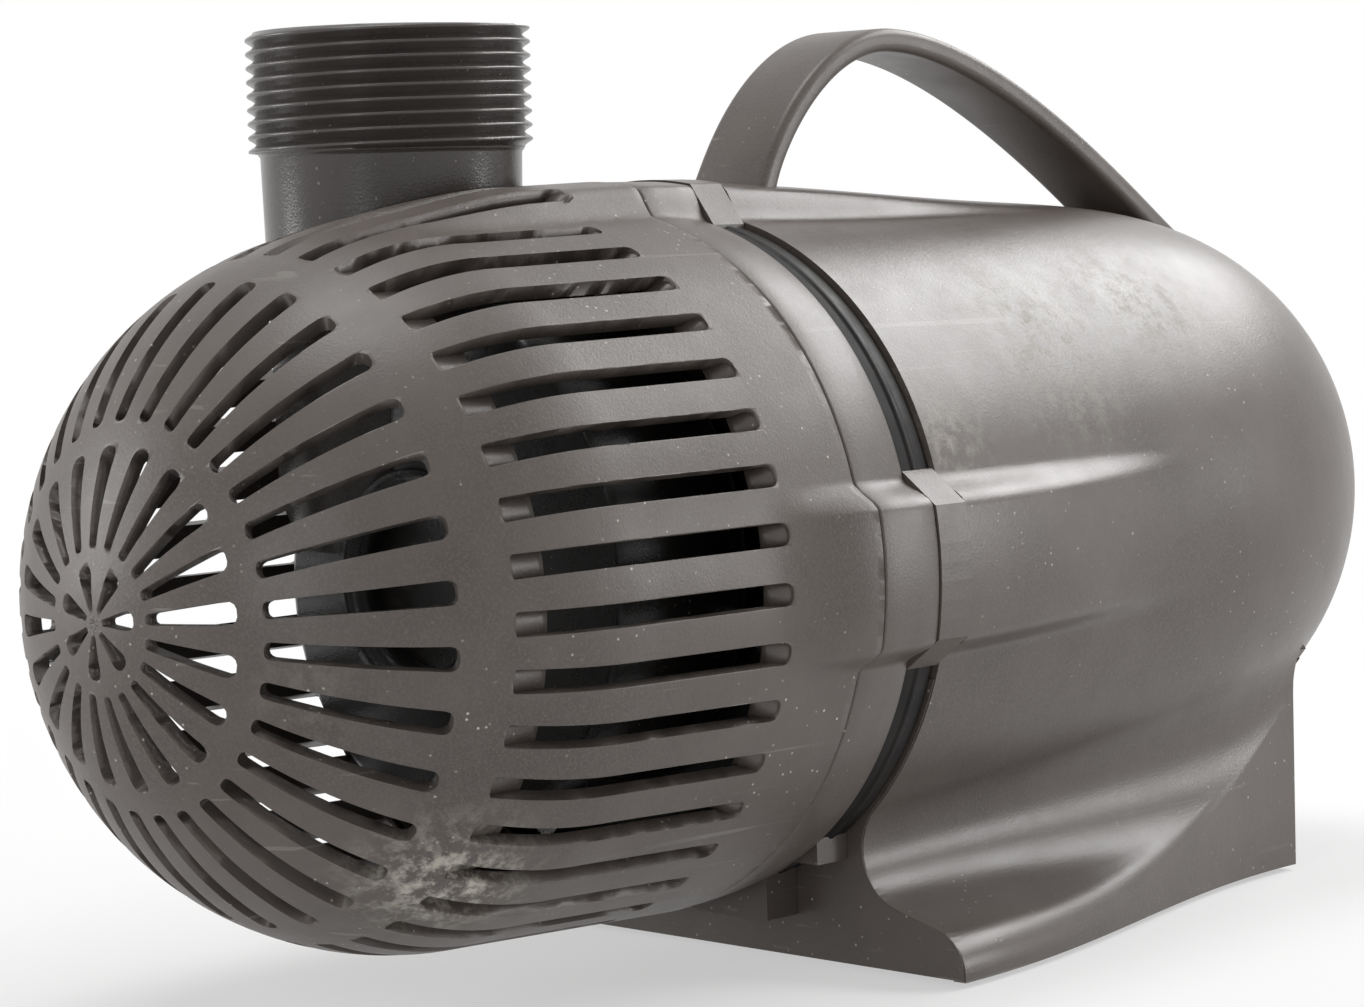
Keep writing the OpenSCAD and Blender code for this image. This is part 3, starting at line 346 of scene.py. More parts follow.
class Band:
    """One band of the cage, a ring of equal cells with a slot in each.

    Start, end and slot are distances along the cage from its nose. Widths and corners are the
    slot's at its front and rear end.
    """

    def __init__(self, count, turn, start, end, slot, widths, corners, rows):
        self.count = count
        self.turn = turn
        self.slot = slot
        self.widths = widths
        m1, m2 = slot
        self.lead_bulge = corners[0] * widths[0] / 2
        self.tail_bulge = corners[1] * widths[1] / 2
        inner = np.linspace(m1 + self.lead_bulge, m2 - self.tail_bulge, rows)
        lead = np.linspace(start, m1 - END_LEAD, max(2, int((m1 - start) / ROW_STEP) + 1))
        tail = np.linspace(m2 + END_LEAD, end, max(2, int((end - m2) / ROW_STEP) + 1))
        self.rows = np.concatenate([lead, inner, tail])
        self.first = len(lead)
        self.last = len(lead) + rows - 1
        # Cells whose slot ends at an earlier row.
        self.short = {}

    def offset(self, m, in_slot, share):
        """Degrees from a cell's middle to one of its columns, at distances m from the nose."""
        along = np.clip((m - self.slot[0]) / (self.slot[1] - self.slot[0]), 0, 1)
        half = (self.widths[0] + (self.widths[1] - self.widths[0]) * along) / 2
        r = np.maximum(cage_station(m)[1], half)
        if in_slot:
            return np.degrees(np.arcsin(share * half / r))
        edge = np.degrees(np.arcsin(half / r))
        return math.copysign(1.0, share) * (edge + (180.0 / self.count - edge) * abs(share))

    def draw(self, sheet):
        """Adds the band to a sheet. Returns the numbers and angles of its first and last ring."""
        cols = [(False, -f) for f in RIB_COLS[::-1]] + [(True, c) for c in SLOT_COLS]
        cols += [(False, f) for f in RIB_COLS[:-1]]
        total = len(cols) * self.count
        hole = np.zeros((len(self.rows) - 1, total), bool)
        m = np.repeat(self.rows[:, None], total, axis=1)
        angle = np.zeros_like(m)
        for cell in range(self.count):
            base = cell * len(cols)
            last = self.short.get(cell, self.last)
            for col, (in_slot, share) in enumerate(cols, base):
                if in_slot:
                    m[self.first, col] -= self.lead_bulge * end_bulge(share)
                    m[last, col] += self.tail_bulge * end_bulge(share)
                angle[:, col] = self.turn + cell * 360.0 / self.count + self.offset(m[:, col], in_slot, share)
            slot_from = base + len(RIB_COLS)
            hole[self.first:last, slot_from:slot_from + len(SLOT_COLS) - 1] = True
        s, r = cage_station(m)
        ids = sheet.add(around(r + cage_lift(s, angle), s, angle))
        sheet.faces += grid_faces(len(m), total, wrap=True, skip=hole, start=ids[0], flip=True)
        return (ids[:total], angle[0]), (ids[-total:], angle[-1])


def in_order(ring):
    """A ring's numbers sorted by angle, and its angles with the first one again a turn later."""
    ids, angle = ring
    angle = angle % 360.0
    order = np.argsort(angle)
    return [ids[i] for i in order], list(angle[order]) + [angle[order[0]] + 360.0]


def zip_rings(sheet, first, second):
    """Triangles between two closed rings that hold different counts."""
    ids_a, angle_a = in_order(first)
    ids_b, angle_b = in_order(second)
    na, nb = len(ids_a), len(ids_b)
    i = j = 0
    while i < na or j < nb:
        if j == nb or (i < na and angle_a[i + 1] <= angle_b[j + 1]):
            sheet.faces.append((ids_a[(i + 1) % na], ids_a[i], ids_b[j % nb]))
            i += 1
        else:
            sheet.faces.append((ids_a[i % na], ids_b[j], ids_b[(j + 1) % nb]))
            j += 1


# The distances between two bands and from the nose's tip to the first ring.
JOIN = 0.6
TIP_REACH = 0.9
# Bands of the dome: their slots, the radius where each ends, the radii its slots run between,
# the slots' widths and corners at both ends, and their rows.
DOME_BANDS = ((7, 10.0, (1.9, 8.8), (0.9, 3.6), (0.8, 1.0), 8),
              (20, 28.0, (11.1, 26.2), (1.6, 3.8), (0.9, 0.95), 14),
              (32, 51.6, (29.7, 49.9), (2.6, 3.8), (0.8, 0.8), 16))
DOME_TURN = 5.2
SIDE_TURN = -0.8
SIDE_SLOTS = 40
SIDE_S1 = 35.4
SIDE_S2 = 88.6
SIDE_W = 3.7
SIDE_CORNERS = (0.25, 0.8)
SIDE_ROWS = 34
SHORT_S2 = OUTLET_S - NOTCH_R - 2 * CAGE_WALL
NOTCH_PLANES = np.linspace(180.0, 360.0, 25)


def side_angle(i):
    """Direction of a side slot in degrees."""
    return i * 360.0 / SIDE_SLOTS + SIDE_TURN


def meets_notch(i):
    """Whether a side slot would run into the outlet's notch."""
    a = math.radians(side_angle(i))
    return math.sin(a) > 0 and abs(CAGE_R * math.cos(a) - OUTLET_X) < NOTCH_R - SIDE_W / 4


def cut_notch(sheet):
    """Opens the outlet's notch, which runs from its round front to the rear rim."""
    centre = Vector(world(OUTLET_X, OUTLET_S, 0.0).tolist())
    cut_round(sheet, centre, Vector((1, 0, 0)), Vector((0, 1, 0)), NOTCH_R, NOTCH_PLANES,
              lambda place: place.z > centre.z)


def cage_bands():
    """The cage's four bands, from the nose to the rear rim."""
    bands = []
    start = TIP_REACH
    for count, end_r, slot_r, widths, corners, rows in DOME_BANDS:
        slot = [along_radius(r) for r in slot_r]
        bands.append(Band(count, DOME_TURN, start, along_radius(end_r), slot, widths, corners, rows))
        start = along_radius(end_r) + JOIN
    slot = (along_station(SIDE_S1), along_station(SIDE_S2))
    side = Band(SIDE_SLOTS, SIDE_TURN, start, along_station(CAGE_L - RIM_GAP), slot, (SIDE_W, SIDE_W),
                SIDE_CORNERS, SIDE_ROWS)
    stop = int(np.argmin(np.abs(side.rows - along_station(SHORT_S2))))
    side.short = {i: stop for i in range(SIDE_SLOTS) if meets_notch(i)}
    return bands + [side]


def build_cage():
    """The slotted cage: its bands, their joins, the nose's tip and the notch."""
    sheet = Sheet()
    rings = [band.draw(sheet) for band in cage_bands()]
    for (_, rear), (lead, _) in zip(rings, rings[1:]):
        zip_rings(sheet, rear, lead)
    tip = sheet.add(world(0.0, 0.0, 0.0))[0]
    sheet.fan(rings[0][0][0], tip)
    cage = sheet.build("cage_skin")
    cut_notch(cage)
    thicken(cage, CAGE_WALL)
    soften(cage, *CAGE_EDGE)
    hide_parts("strainer_cage")
    return cage


# Floors at both ends of the side slots, level in front and sloped at the rear.
FLOOR_T = 0.8
FLOOR_R = CAGE_R * math.cos(math.asin(1 - SIDE_S1 / CAGE_R))
FLOOR_DROP = 0.6
FLOOR_EDGE = 0.35
FRONT_FLOOR_L = 7.0
FRONT_FLOOR_START = 0.2
REAR_FLOOR_L = 3.2
REAR_FLOOR_END = 0.3
REAR_FLOOR_DEPTH = 0.25
REAR_FLOOR_BEND = 0.8
FRONT_FLOOR_ROWS = 7
REAR_FLOOR_ROWS = 6


def add_floor(sheet, turn, stations, radii):
    """Adds one strip, as wide as a slot and a little more, to the floors."""
    half = SIDE_W / 2 + FLOOR_EDGE
    x = np.array([-half, 0.0, half])
    r = np.repeat(radii[:, None], 3, axis=1)
    points = around(r, stations[:, None], turn + np.degrees(np.arcsin(x / r)))
    sheet.faces += grid_faces(len(stations), 3, start=sheet.count, flip=True)
    sheet.add(points)


def slot_floors():
    """The floors of all side slots."""
    sheet = Sheet()
    for i in range(SIDE_SLOTS):
        turn = side_angle(i)
        stations = np.linspace(SIDE_S1 - FRONT_FLOOR_START, SIDE_S1 + FRONT_FLOOR_L, FRONT_FLOOR_ROWS)
        add_floor(sheet, turn, stations, np.full(FRONT_FLOOR_ROWS, FLOOR_R - FLOOR_DROP))
        end = SHORT_S2 if meets_notch(i) else SIDE_S2
        top = cage_station(np.array(along_station(end)))[1] + cage_lift(end, turn % 360.0)
        slope = 1 - np.linspace(0, 1, REAR_FLOOR_ROWS) ** REAR_FLOOR_BEND
        stations = np.linspace(end - REAR_FLOOR_L, end + REAR_FLOOR_END, REAR_FLOOR_ROWS)
        add_floor(sheet, turn, stations, top - REAR_FLOOR_DEPTH - (CAGE_WALL + FLOOR_DROP) * slope)
    floors = sheet.build("slot_floors")
    thicken(floors, FLOOR_T)
    return floors


cage = build_cage()
floors = slot_floors()


# Ring and flange.
def closed_ring(name, profile, columns, edge=None):
    """A closed ring about the axis from (station, radius, lobe height) points."""
    angle = np.linspace(0, 360, columns, endpoint=False)[None, :]
    s, r, h = (np.array(values)[:, None] for values in zip(*profile))
    points = around(r + h * lobe_share(angle), s, angle)
    faces = grid_faces(len(profile), columns, wrap=True, closed=True, flip=True)
    ring = make(name, points, faces)
    if edge:
        soften(ring, *edge)
    return ring


RING_S = CAGE_L
RING_W = 13.2
RING_R = CAGE_RIM_R - 0.1
RING_BORE_R = 50.0
RING_MOUTH_R = 52.0
RING_FACE_R = (55.0, 55.5)
RING_INNER_R = (56.6, 56.0)
# Shares of a lobe's height on the ring's faces and inside it.
FACE_SHARE = 0.5
INNER_SHARE = 0.8
FLANGE_S = RING_S + RING_W
FLANGE_R = 57.9
FLANGE_GAP = 0.35
FLANGE_RIB_H = 0.35
RIM_LIP_L = 4.6
RIM_LIP_R = (54.6, 56.4)
# Places behind the ring's front face, with how far the round falls and the lobes rise there.
RING_CROWN = ((0.0, 0.0, 0.0), (4.0, 0.15, 0.15), (8.5, 0.5, 0.5), (RING_W, 1.1, 1.05))
# The places where the ring's inner step begins and ends.
RING_STEP = (3.0, RING_W - 2.8)
RIB_HALF_W = (0.5, 0.8)
RING_COLS = 720
FLANGE_COLS = 240


def build_ring():
    """The mounting ring with its three lobes, and a lip that reaches into the cage."""
    lift = LOBE_R - CAGE_RIM_R
    step_s, step_end = (RING_S + place for place in RING_STEP)
    lip_s = RING_S - RIM_LIP_L
    ring = closed_ring("ring_skin", [
        (RING_S, RING_MOUTH_R, 0.0), (RING_S, RING_FACE_R[0], lift * FACE_SHARE),
        *((RING_S + place, RING_R - fall, lift + rise) for place, fall, rise in RING_CROWN),
        (FLANGE_S, RING_FACE_R[1], lift * FACE_SHARE), (FLANGE_S, RING_BORE_R, 0.0),
        (step_end, RING_BORE_R, 0.0), (step_end, RING_INNER_R[1], lift * INNER_SHARE),
        (step_s, RING_INNER_R[0], lift * INNER_SHARE), (lip_s, RIM_LIP_R[1], 0.0),
        (lip_s, RIM_LIP_R[0], 0.0), (RING_S, RIM_LIP_R[0], 0.0)], RING_COLS, RING_EDGE)
    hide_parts("mounting_ring")
    return ring


def build_flange():
    """The round between the ring and the cover, with a thin rib at its middle. It is black plastic painted
    darker still as shade in the groove.
    """
    front_s, rear_s = FLANGE_S + FLANGE_GAP, COVER_S - SEAM
    rib_s = (FLANGE_S + COVER_S) / 2
    rib_r = FLANGE_R + FLANGE_RIB_H
    crest, foot = RIB_HALF_W
    return closed_ring("flange_skin", [
        (front_s, RING_BORE_R, 0.0), (front_s, FLANGE_R, 0.0), (rib_s - foot, FLANGE_R, 0.0),
        (rib_s - crest, rib_r, 0.0), (rib_s + crest, rib_r, 0.0), (rib_s + foot, FLANGE_R, 0.0),
        (rear_s, FLANGE_R, 0.0), (rear_s, RING_BORE_R, 0.0)], FLANGE_COLS, FLANGE_EDGE)


ring_skin = build_ring()
flange_skin = build_flange()

# Cover. Its lowest points and its rear tip stay BOX_GAP inside the CAD box.
BOX_GAP = 0.1
TAPER = 0.026
REAR_ROUND_S = 196.6
REAR_OVERRUN = 0.9
REAR_POWERS = (3.4, 3.0)
COVER_RISE = 3.3
COVER_RISE_L = 150.5
RIDGE_H = 5.0
SIDE_RIDGE_L = 83.0
TOP_RIDGE_L = 105.0

# The base's section: how far its waist stands out, the radius of the valley under the body,
# the shoulder's radius and the flare. Pairs give the value in front and its growth to the rear.
SKIRT_L = 120.4
WAIST = (39.0, 2.0)
VALLEY = (9.9, 9.4)
SHOULDER = 6.6
FLARE = 21.6
FLARE_ANGLE = 75.0
LEAST_FLARE = 1e-3
LEAST_LEAN = 0.02
SHARP_ANGLE = 38.0

ARC_STEPS = 150
VALLEY_STEPS = 14
LEAN_STEPS = 8
SHOULDER_STEPS = 8
WALL_STEPS = 10
SKIRT_STEPS = VALLEY_STEPS + LEAN_STEPS + SHOULDER_STEPS + WALL_STEPS
FIRST_ROWS = (0.0, 1.2, 2.6)
BASE_STEPS = 66
UNDER_STEPS = 40
REAR_STEPS = 30


def cover_radius(s):
    """The body's radius, which tapers a little and closes in a soft round end."""
    u = np.clip((s - REAR_ROUND_S) / (TOTAL_L + REAR_OVERRUN - REAR_ROUND_S), 0, 1)
    base = COVER_R - TAPER * (s - COVER_S)
    return base * (1 - u ** REAR_POWERS[0]) ** (1 / REAR_POWERS[1])


def cover_centre(s):
    """Height of the body's middle above the pump's axis."""
    return COVER_RISE * smooth((s - COVER_S) / COVER_RISE_L)


def ridge(s, angle):
    """Height of the long ridges on the cover above its round form."""
    length = np.where(on_top(angle), TOP_RIDGE_L, SIDE_RIDGE_L)
    return RIDGE_H * lobe_share(angle) * (1 - smooth((s - COVER_S) / length))


def body_outline(s, angle):
    """Places x and z on the cover's body at a station, for angles in degrees."""
    a = np.radians(angle)
    r = cover_radius(s) + ridge(s, angle)
    return r * np.cos(a), cover_centre(s) + r * np.sin(a)


def arc_points(centre, radius, turns):
    """Points of an arc as rows of two places, for turns in radians."""
    return np.stack([centre[0] + radius * np.cos(turns), centre[1] + radius * np.sin(turns)], 1)


def half_section(s):
    """Half of the cover's section at a station, from the top down to the ground."""
    r = cover_radius(s)
    c = cover_centre(s)
    v = float(smooth((s - COVER_S) / SKIRT_L))
    flare = max(FLARE * (1 - v), LEAST_FLARE)
    valley = VALLEY[0] + VALLEY[1] * v
    lean = max(math.radians(FLARE_ANGLE) * math.sqrt(max(0.0, 1 - v)), LEAST_LEAN)
    turned = (valley + SHOULDER) * (1 - math.cos(lean))
    if turned > flare:
        lean = math.acos(max(-1.0, 1 - flare / (valley + SHOULDER)))
        turned = flare
    straight = max(0.0, (flare - turned) / math.sin(lean))
    x = WAIST[0] + WAIST[1] * v + valley
    z = c - math.sqrt((r + valley) ** 2 - x ** 2)
    low = math.atan2(z - c, x)
    body = np.stack(body_outline(s, np.degrees(np.linspace(math.pi / 2, low, ARC_STEPS))), 1)
    hollow = arc_points((x, z), valley, np.linspace(low + math.pi, math.pi + lean, VALLEY_STEPS + 1)[1:])
    down = np.linspace(0, straight, LEAN_STEPS + 1)[1:, None]
    slope = hollow[-1] + down * np.array([math.sin(lean), -math.cos(lean)])
    centre = slope[-1] - SHOULDER * np.array([math.cos(lean), math.sin(lean)])
    shoulder = arc_points(centre, SHOULDER, np.linspace(lean, 0, SHOULDER_STEPS + 1)[1:])
    foot_x, foot_z = shoulder[-1]
    heights = np.linspace(foot_z, FLOOR_Z + BOX_GAP, WALL_STEPS + 1)[1:]
    wall = np.stack([np.full(WALL_STEPS, foot_x), heights], 1)
    return np.concatenate([body, hollow, slope, shoulder, wall])


def full_section(s):
    """The cover's section at a station, from one foot over the top to the other."""
    half = half_section(s)
    both = np.concatenate([half[::-1] * [-1, 1], half[1:]])
    return world(both[:, 0], s, both[:, 1])


def body_angles():
    """Angles round the body where the base ends: those over its top and those underneath."""
    x, z = half_section(BASE_END_S)[ARC_STEPS - 1]
    low = math.degrees(math.atan2(z - cover_centre(BASE_END_S), x))
    over = np.linspace(180.0 - low, low, 2 * ARC_STEPS - 1)
    return over, np.linspace(low, -180.0 - low, UNDER_STEPS)[1:-1]


def round_end(sheet, over_ids, under_ids):
    """The round rear end of the body, from the closed row where the base ends."""
    angles = np.concatenate(body_angles())
    ring = over_ids + under_ids
    for share in np.sin(np.linspace(0, math.pi / 2, REAR_STEPS))[1:]:
        s = BASE_END_S + (TOTAL_L - INSET - BASE_END_S) * share
        x, z = body_outline(s, angles)
        new = sheet.add(world(x, s, z))
        sheet.strip(ring, new, closed=True)
        ring = new
    sheet.fan(ring, sheet.add(world(0.0, TOTAL_L - BOX_GAP, cover_centre(s)))[0])


def rear_wall(sheet, row, under_ids):
    """The wall behind the base, from the body's underside down to the ground."""
    left = row[SKIRT_STEPS::-1]
    right = row[-SKIRT_STEPS - 1:]
    under_x, under_z = body_outline(BASE_END_S, body_angles()[1])
    across = 1 - 2 * np.arange(1, UNDER_STEPS - 1) / (UNDER_STEPS - 1)
    side = half_section(BASE_END_S)[ARC_STEPS - 1:]
    above = [right[0]] + under_ids + [left[0]]
    for k in range(1, SKIRT_STEPS + 1):
        down = k / SKIRT_STEPS
        x = under_x * (1 - down) + side[k, 0] * across * down
        z = under_z * (1 - down) + side[k, 1] * down
        ids = [right[k]] + sheet.add(world(x, BASE_END_S, z)) + [left[k]]
        sheet.strip(ids, above)
        above = ids


GROMMET_LIP = 0.1
GROMMET_REACH = 14.0
GROMMET_PLANES = np.linspace(0.0, 352.5, 48)
REAR_REACH = 6.0


def open_grommet(sheet):
    """The cord's round hole in the rear end."""
    low, high = span("cord_grommet")
    radius = (high[0] - low[0]) / 2 - GROMMET_LIP
    centre = Vector((0.0, 0.0, (low[2] + high[2]) / 2 * MM))
    rear_y = world(0.0, BASE_END_S + REAR_REACH, 0.0)[1]
    cut_round(sheet, centre, Vector((1, 0, 0)), Vector((0, 0, 1)), radius, GROMMET_PLANES,
              lambda place: place.y > rear_y and math.hypot(place.x, place.z - centre.z) < GROMMET_REACH * MM)


def build_cover():
    """The cover: a flared base with the body above it, and a round end behind both."""
    sheet = Sheet()
    lead = COVER_S + SEAM + np.array(FIRST_ROWS)
    stations = np.concatenate([lead[:-1], np.linspace(lead[-1], BASE_END_S, BASE_STEPS)])
    rows = [sheet.add(full_section(float(s))) for s in stations]
    for first, second in zip(rows, rows[1:]):
        sheet.strip(first, second)
    under_x, under_z = body_outline(BASE_END_S, body_angles()[1])
    under_ids = sheet.add(world(under_x, BASE_END_S, under_z))
    round_end(sheet, rows[-1][SKIRT_STEPS:-SKIRT_STEPS], under_ids)
    rear_wall(sheet, rows[-1], under_ids)
    cover = sheet.build("cover_skin")
    open_grommet(cover)
    thicken(cover, COVER_WALL)
    settle(cover)
    cover.data.set_sharp_from_angle(angle=math.radians(SHARP_ANGLE))
    return cover


cover = build_cover()
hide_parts("cover_shell")

# Front wall of the base. Its opening has two steps, each with a half width and a depth.
FRONT_WALL_T = 2.85
FRONT_WALL_SHARE = 0.997
FRONT_WALL_POINTS = 30
OPENING_STEPS = ((36.0, 50.3), (24.3, 60.9))
OPENING_TOP = 5.0
RECESS_R = 2.6
RECESS_STEPS = 8
FRONT_BORE_R = 56.0
FRONT_BORE_STEPS = 96
CUT_SPAN = (-5.0, 9.0)


def cut_through(wall, x, z):
    """Cuts an outline through the front wall."""
    front_s, rear_s = (COVER_S + reach for reach in CUT_SPAN)
    cut(wall, world(x, front_s, z)[::-1], world(x, rear_s, z)[::-1])


def front_wall():
    """The wall that closes the base under the flange, with its stepped opening."""
    tail = half_section(COVER_S + SEAM)[ARC_STEPS - FRONT_WALL_POINTS:]
    outline = np.concatenate([tail * [-1, 1], tail[::-1]]) * FRONT_WALL_SHARE
    x, z = outline[:, 0], outline[:, 1]
    front_s = COVER_S + INSET
    points = [world(x, front_s, z), world(x, front_s + FRONT_WALL_T, z)]
    wall = make("front_wall_skin", points, capped_faces(2, len(x)), shade=False)
    arc = np.radians(np.linspace(0, -90, RECESS_STEPS))
    for half_w, depth in OPENING_STEPS:
        right = arc_points((half_w - RECESS_R, RECESS_R - depth), RECESS_R, arc)
        left = arc_points((RECESS_R - half_w, RECESS_R - depth), RECESS_R, arc - math.pi / 2)
        opening = np.concatenate([[(-half_w, OPENING_TOP), (half_w, OPENING_TOP)], right, left])
        cut_through(wall, opening[:, 0], opening[:, 1])
    turn = np.radians(np.linspace(0, 360, FRONT_BORE_STEPS, endpoint=False))
    cut_through(wall, FRONT_BORE_R * np.cos(turn), FRONT_BORE_R * np.sin(turn))
    soften(wall, *WALL_EDGE)
    return wall


front = front_wall()

# Handle, a strap that follows two curves from its front foot over the crown to its tail.
STRAP_W = 16.9
STRAP_T = 4.2
STRAP_CORNER = 1.5
STRAP_FRONT = COVER_S + 13.0
STRAP_CROWN = STRAP_FRONT + 35.0
STRAP_REAR = STRAP_CROWN + 91.0
CROWN_H = 88.3
FOOT_SINK = 1.5
TAIL_SINK = 2.6
# How far the curves' handles reach, along the pump and as shares of the rise and the drop.
FRONT_PULL = 3.15
FRONT_PULL_SHARE = 0.42
CROWN_PULL = (17.5, 21.8)
REAR_PULL = 54.6
REAR_PULL_SHARE = 0.38
# The feet grow thicker and wider by a share that dies away over these lengths.
THICKER = 0.9
THICKER_L = (3.0, 6.0)
WIDER = 0.10
WIDER_L = (4.0, 5.0)
UP_STEPS = 40
DOWN_STEPS = 60
CORNER_STEPS = 6


def bezier(points, t):
    """Places on a cubic curve with four points, at shares t of its way."""
    a, b, c, d = np.asarray(points, float)
    t = t[:, None]
    return (1 - t) ** 3 * a + 3 * (1 - t) ** 2 * t * b + 3 * (1 - t) * t ** 2 * c + t ** 3 * d


def strap_line():
    """The strap's middle line as stations and heights."""
    foot_h = COVER_R - FOOT_SINK
    tail_h = cover_radius(STRAP_REAR) + COVER_RISE - TAIL_SINK
    up = bezier([(STRAP_FRONT, foot_h),
                 (STRAP_FRONT + FRONT_PULL, foot_h + (CROWN_H - foot_h) * FRONT_PULL_SHARE),
                 (STRAP_CROWN - CROWN_PULL[0], CROWN_H), (STRAP_CROWN, CROWN_H)], np.linspace(0, 1, UP_STEPS))
    down = bezier([(STRAP_CROWN, CROWN_H), (STRAP_CROWN + CROWN_PULL[1], CROWN_H),
                   (STRAP_CROWN + REAR_PULL, CROWN_H - (CROWN_H - tail_h) * REAR_PULL_SHARE),
                   (STRAP_REAR, tail_h)], np.linspace(0, 1, DOWN_STEPS))
    return np.concatenate([up, down[1:]])


def strap_section():
    """The strap's section, a flat bar with round corners."""
    x, z = STRAP_W / 2 - STRAP_CORNER, STRAP_T / 2 - STRAP_CORNER
    corners = ((x, z, 0), (-x, z, 90), (-x, -z, 180), (x, -z, 270))
    return np.concatenate([
        arc_points((cx, cz), STRAP_CORNER, np.radians(np.linspace(turn, turn + 90, CORNER_STEPS)))
        for cx, cz, turn in corners])


def build_handle():
    """The strap handle, which swells a little where it leaves the cover."""
    line = strap_line()
    section = strap_section()
    way = np.gradient(line, axis=0)
    way /= np.linalg.norm(way, axis=1)[:, None]
    gone = np.concatenate([[0], np.cumsum(np.linalg.norm(np.diff(line, axis=0), axis=1))])
    rows = []
    for place, (ds, dz), front in zip(line, way, gone):
        rear = gone[-1] - front
        thick = 1 + THICKER * (math.exp(-front / THICKER_L[0]) + math.exp(-rear / THICKER_L[1]))
        wide = 1 + WIDER * (math.exp(-front / WIDER_L[0]) + math.exp(-rear / WIDER_L[1]))
        off = section[:, 1] * thick
        rows.append(world(section[:, 0] * wide, place[0] - dz * off, place[1] + ds * off))
    return make("handle_skin", np.array(rows), capped_faces(len(rows), len(section)))


handle = build_handle()


# Outlet and volute.
THREAD_BOTTOM = THREAD_TOP - THREAD_L
ROOT_R = THREAD_R - THREAD_DEPTH
THREAD_COLS = 144
TUBE_COLS = 128
BELL_COLS = 96
THREAD_END = 0.02
# The thread's form as shares of its pitch and of its depth.
THREAD_SHARES = ((0.0, 0.0), (0.16, 0.30), (0.36, 0.86), (0.44, 1.0), (0.56, 1.0), (0.64, 0.86),
                 (0.84, 0.30), (1.0, 0.0))
# The tube's outside and bore as radii and heights, from its mouth down to the volute.
TUBE_PROFILE = ((BORE_R, THREAD_TOP), (THREAD_R - 2.2, THREAD_TOP), (THREAD_R - 1.5, THREAD_TOP - 0.7),
                (ROOT_R - 0.1, THREAD_BOTTOM + 0.4), (ROOT_R - 0.1, THREAD_BOTTOM - 0.2),
                (NECK_R, THREAD_BOTTOM - 0.6), (NECK_R - 0.5, 50.0), (NECK_R - 1.2, 12.0),
                (NECK_R - 4.0, 6.0), (BORE_R, 4.0))


def build_tube():
    """The outlet's tube, turned about its own upright line."""
    a = np.radians(np.linspace(0, 360, TUBE_COLS, endpoint=False))
    r, z = (np.array(values)[:, None] for values in zip(*TUBE_PROFILE))
    points = world(OUTLET_X + r * np.cos(a), OUTLET_S + r * np.sin(a), z)
    tube = make("outlet_tube", points, grid_faces(len(TUBE_PROFILE), TUBE_COLS, wrap=True, closed=True))
    soften(tube, *TUBE_EDGE)
    return tube


def build_thread():
    """The outlet's thread, a helix that starts a turn early and has both ends cut off flat."""
    points = []
    steps = range(-THREAD_COLS, int(THREAD_L / THREAD_PITCH * THREAD_COLS) + 1)
    for k in steps:
        a = 2 * math.pi * k / THREAD_COLS
        for along, out in THREAD_SHARES:
            free = THREAD_BOTTOM + THREAD_PITCH * (k / THREAD_COLS + along)
            z = min(max(free, THREAD_BOTTOM + THREAD_END), THREAD_TOP - THREAD_END)
            r = ROOT_R + (out * THREAD_DEPTH if z == free else 0.0)
            points.append((OUTLET_X + r * math.cos(a), OUTLET_S + r * math.sin(a), z))
    faces = grid_faces(len(steps), len(THREAD_SHARES), flip=True)
    return make("outlet_thread", world(*np.array(points).T), faces)


tube = build_tube()
thread = build_thread()

SCROLL_R = 35.0
SCROLL_GROWTH = 10.4
SCROLL_START = 230.0
SCROLL_TURN = 310.0
SCROLL_STEPS = 72
SCROLL_CLOSE_STEPS = 14
# Stations of the scroll's rows and how far each stands out from its outline.
SCROLL_ROWS = ((68.0, -1.6), (68.5, -0.5), (69.6, 0.0), (95.4, 0.0), (96.5, -0.5), (97.0, -1.6))
# The inlet's bell and the sleeve behind the scroll, as (station, radius) points.
BELL = ((67.0, 14.0), (64.0, 14.6), (63.1, 16.0), (63.1, 18.4), (63.8, 18.9), (67.0, 17.4),
        (70.0, 17.4), (70.0, 14.0))
SLEEVE = ((96.5, 33.2), (96.5, 35.9), (101.4, 35.9), (101.4, 47.9), (105.4, 47.9), (105.4, 33.2))


def build_scroll():
    """The volute's scroll, which widens round the impeller."""
    share = np.linspace(0, 1, SCROLL_STEPS)
    close = np.linspace(SCROLL_START - SCROLL_TURN, SCROLL_START - 360.0, SCROLL_CLOSE_STEPS)[1:-1]
    a = np.radians(np.concatenate([SCROLL_START - SCROLL_TURN * share, close]))
    r = SCROLL_R + np.concatenate([SCROLL_GROWTH * share, np.zeros(len(close))])
    rows = [world((r + grow) * np.cos(a), s, -(r + grow) * np.sin(a)) for s, grow in SCROLL_ROWS]
    return make("volute_skin", np.array(rows), capped_faces(len(rows), len(a)))


scroll = build_scroll()
bell = closed_ring("volute_bell", [(s, r, 0.0) for s, r in BELL], BELL_COLS)
sleeve = closed_ring("volute_sleeve", [(s, r, 0.0) for s, r in SLEEVE], TUBE_COLS, SLEEVE_EDGE)
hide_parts("volute")


# Materials.
def add_node(tree, kind, **values):
    """Adds a shader node, with values for its inputs or for itself."""
    node = tree.nodes.new(kind)
    for key, value in values.items():
        if key in node.inputs:
            node.inputs[key].default_value = value
        else:
            setattr(node, key, value)
    return node


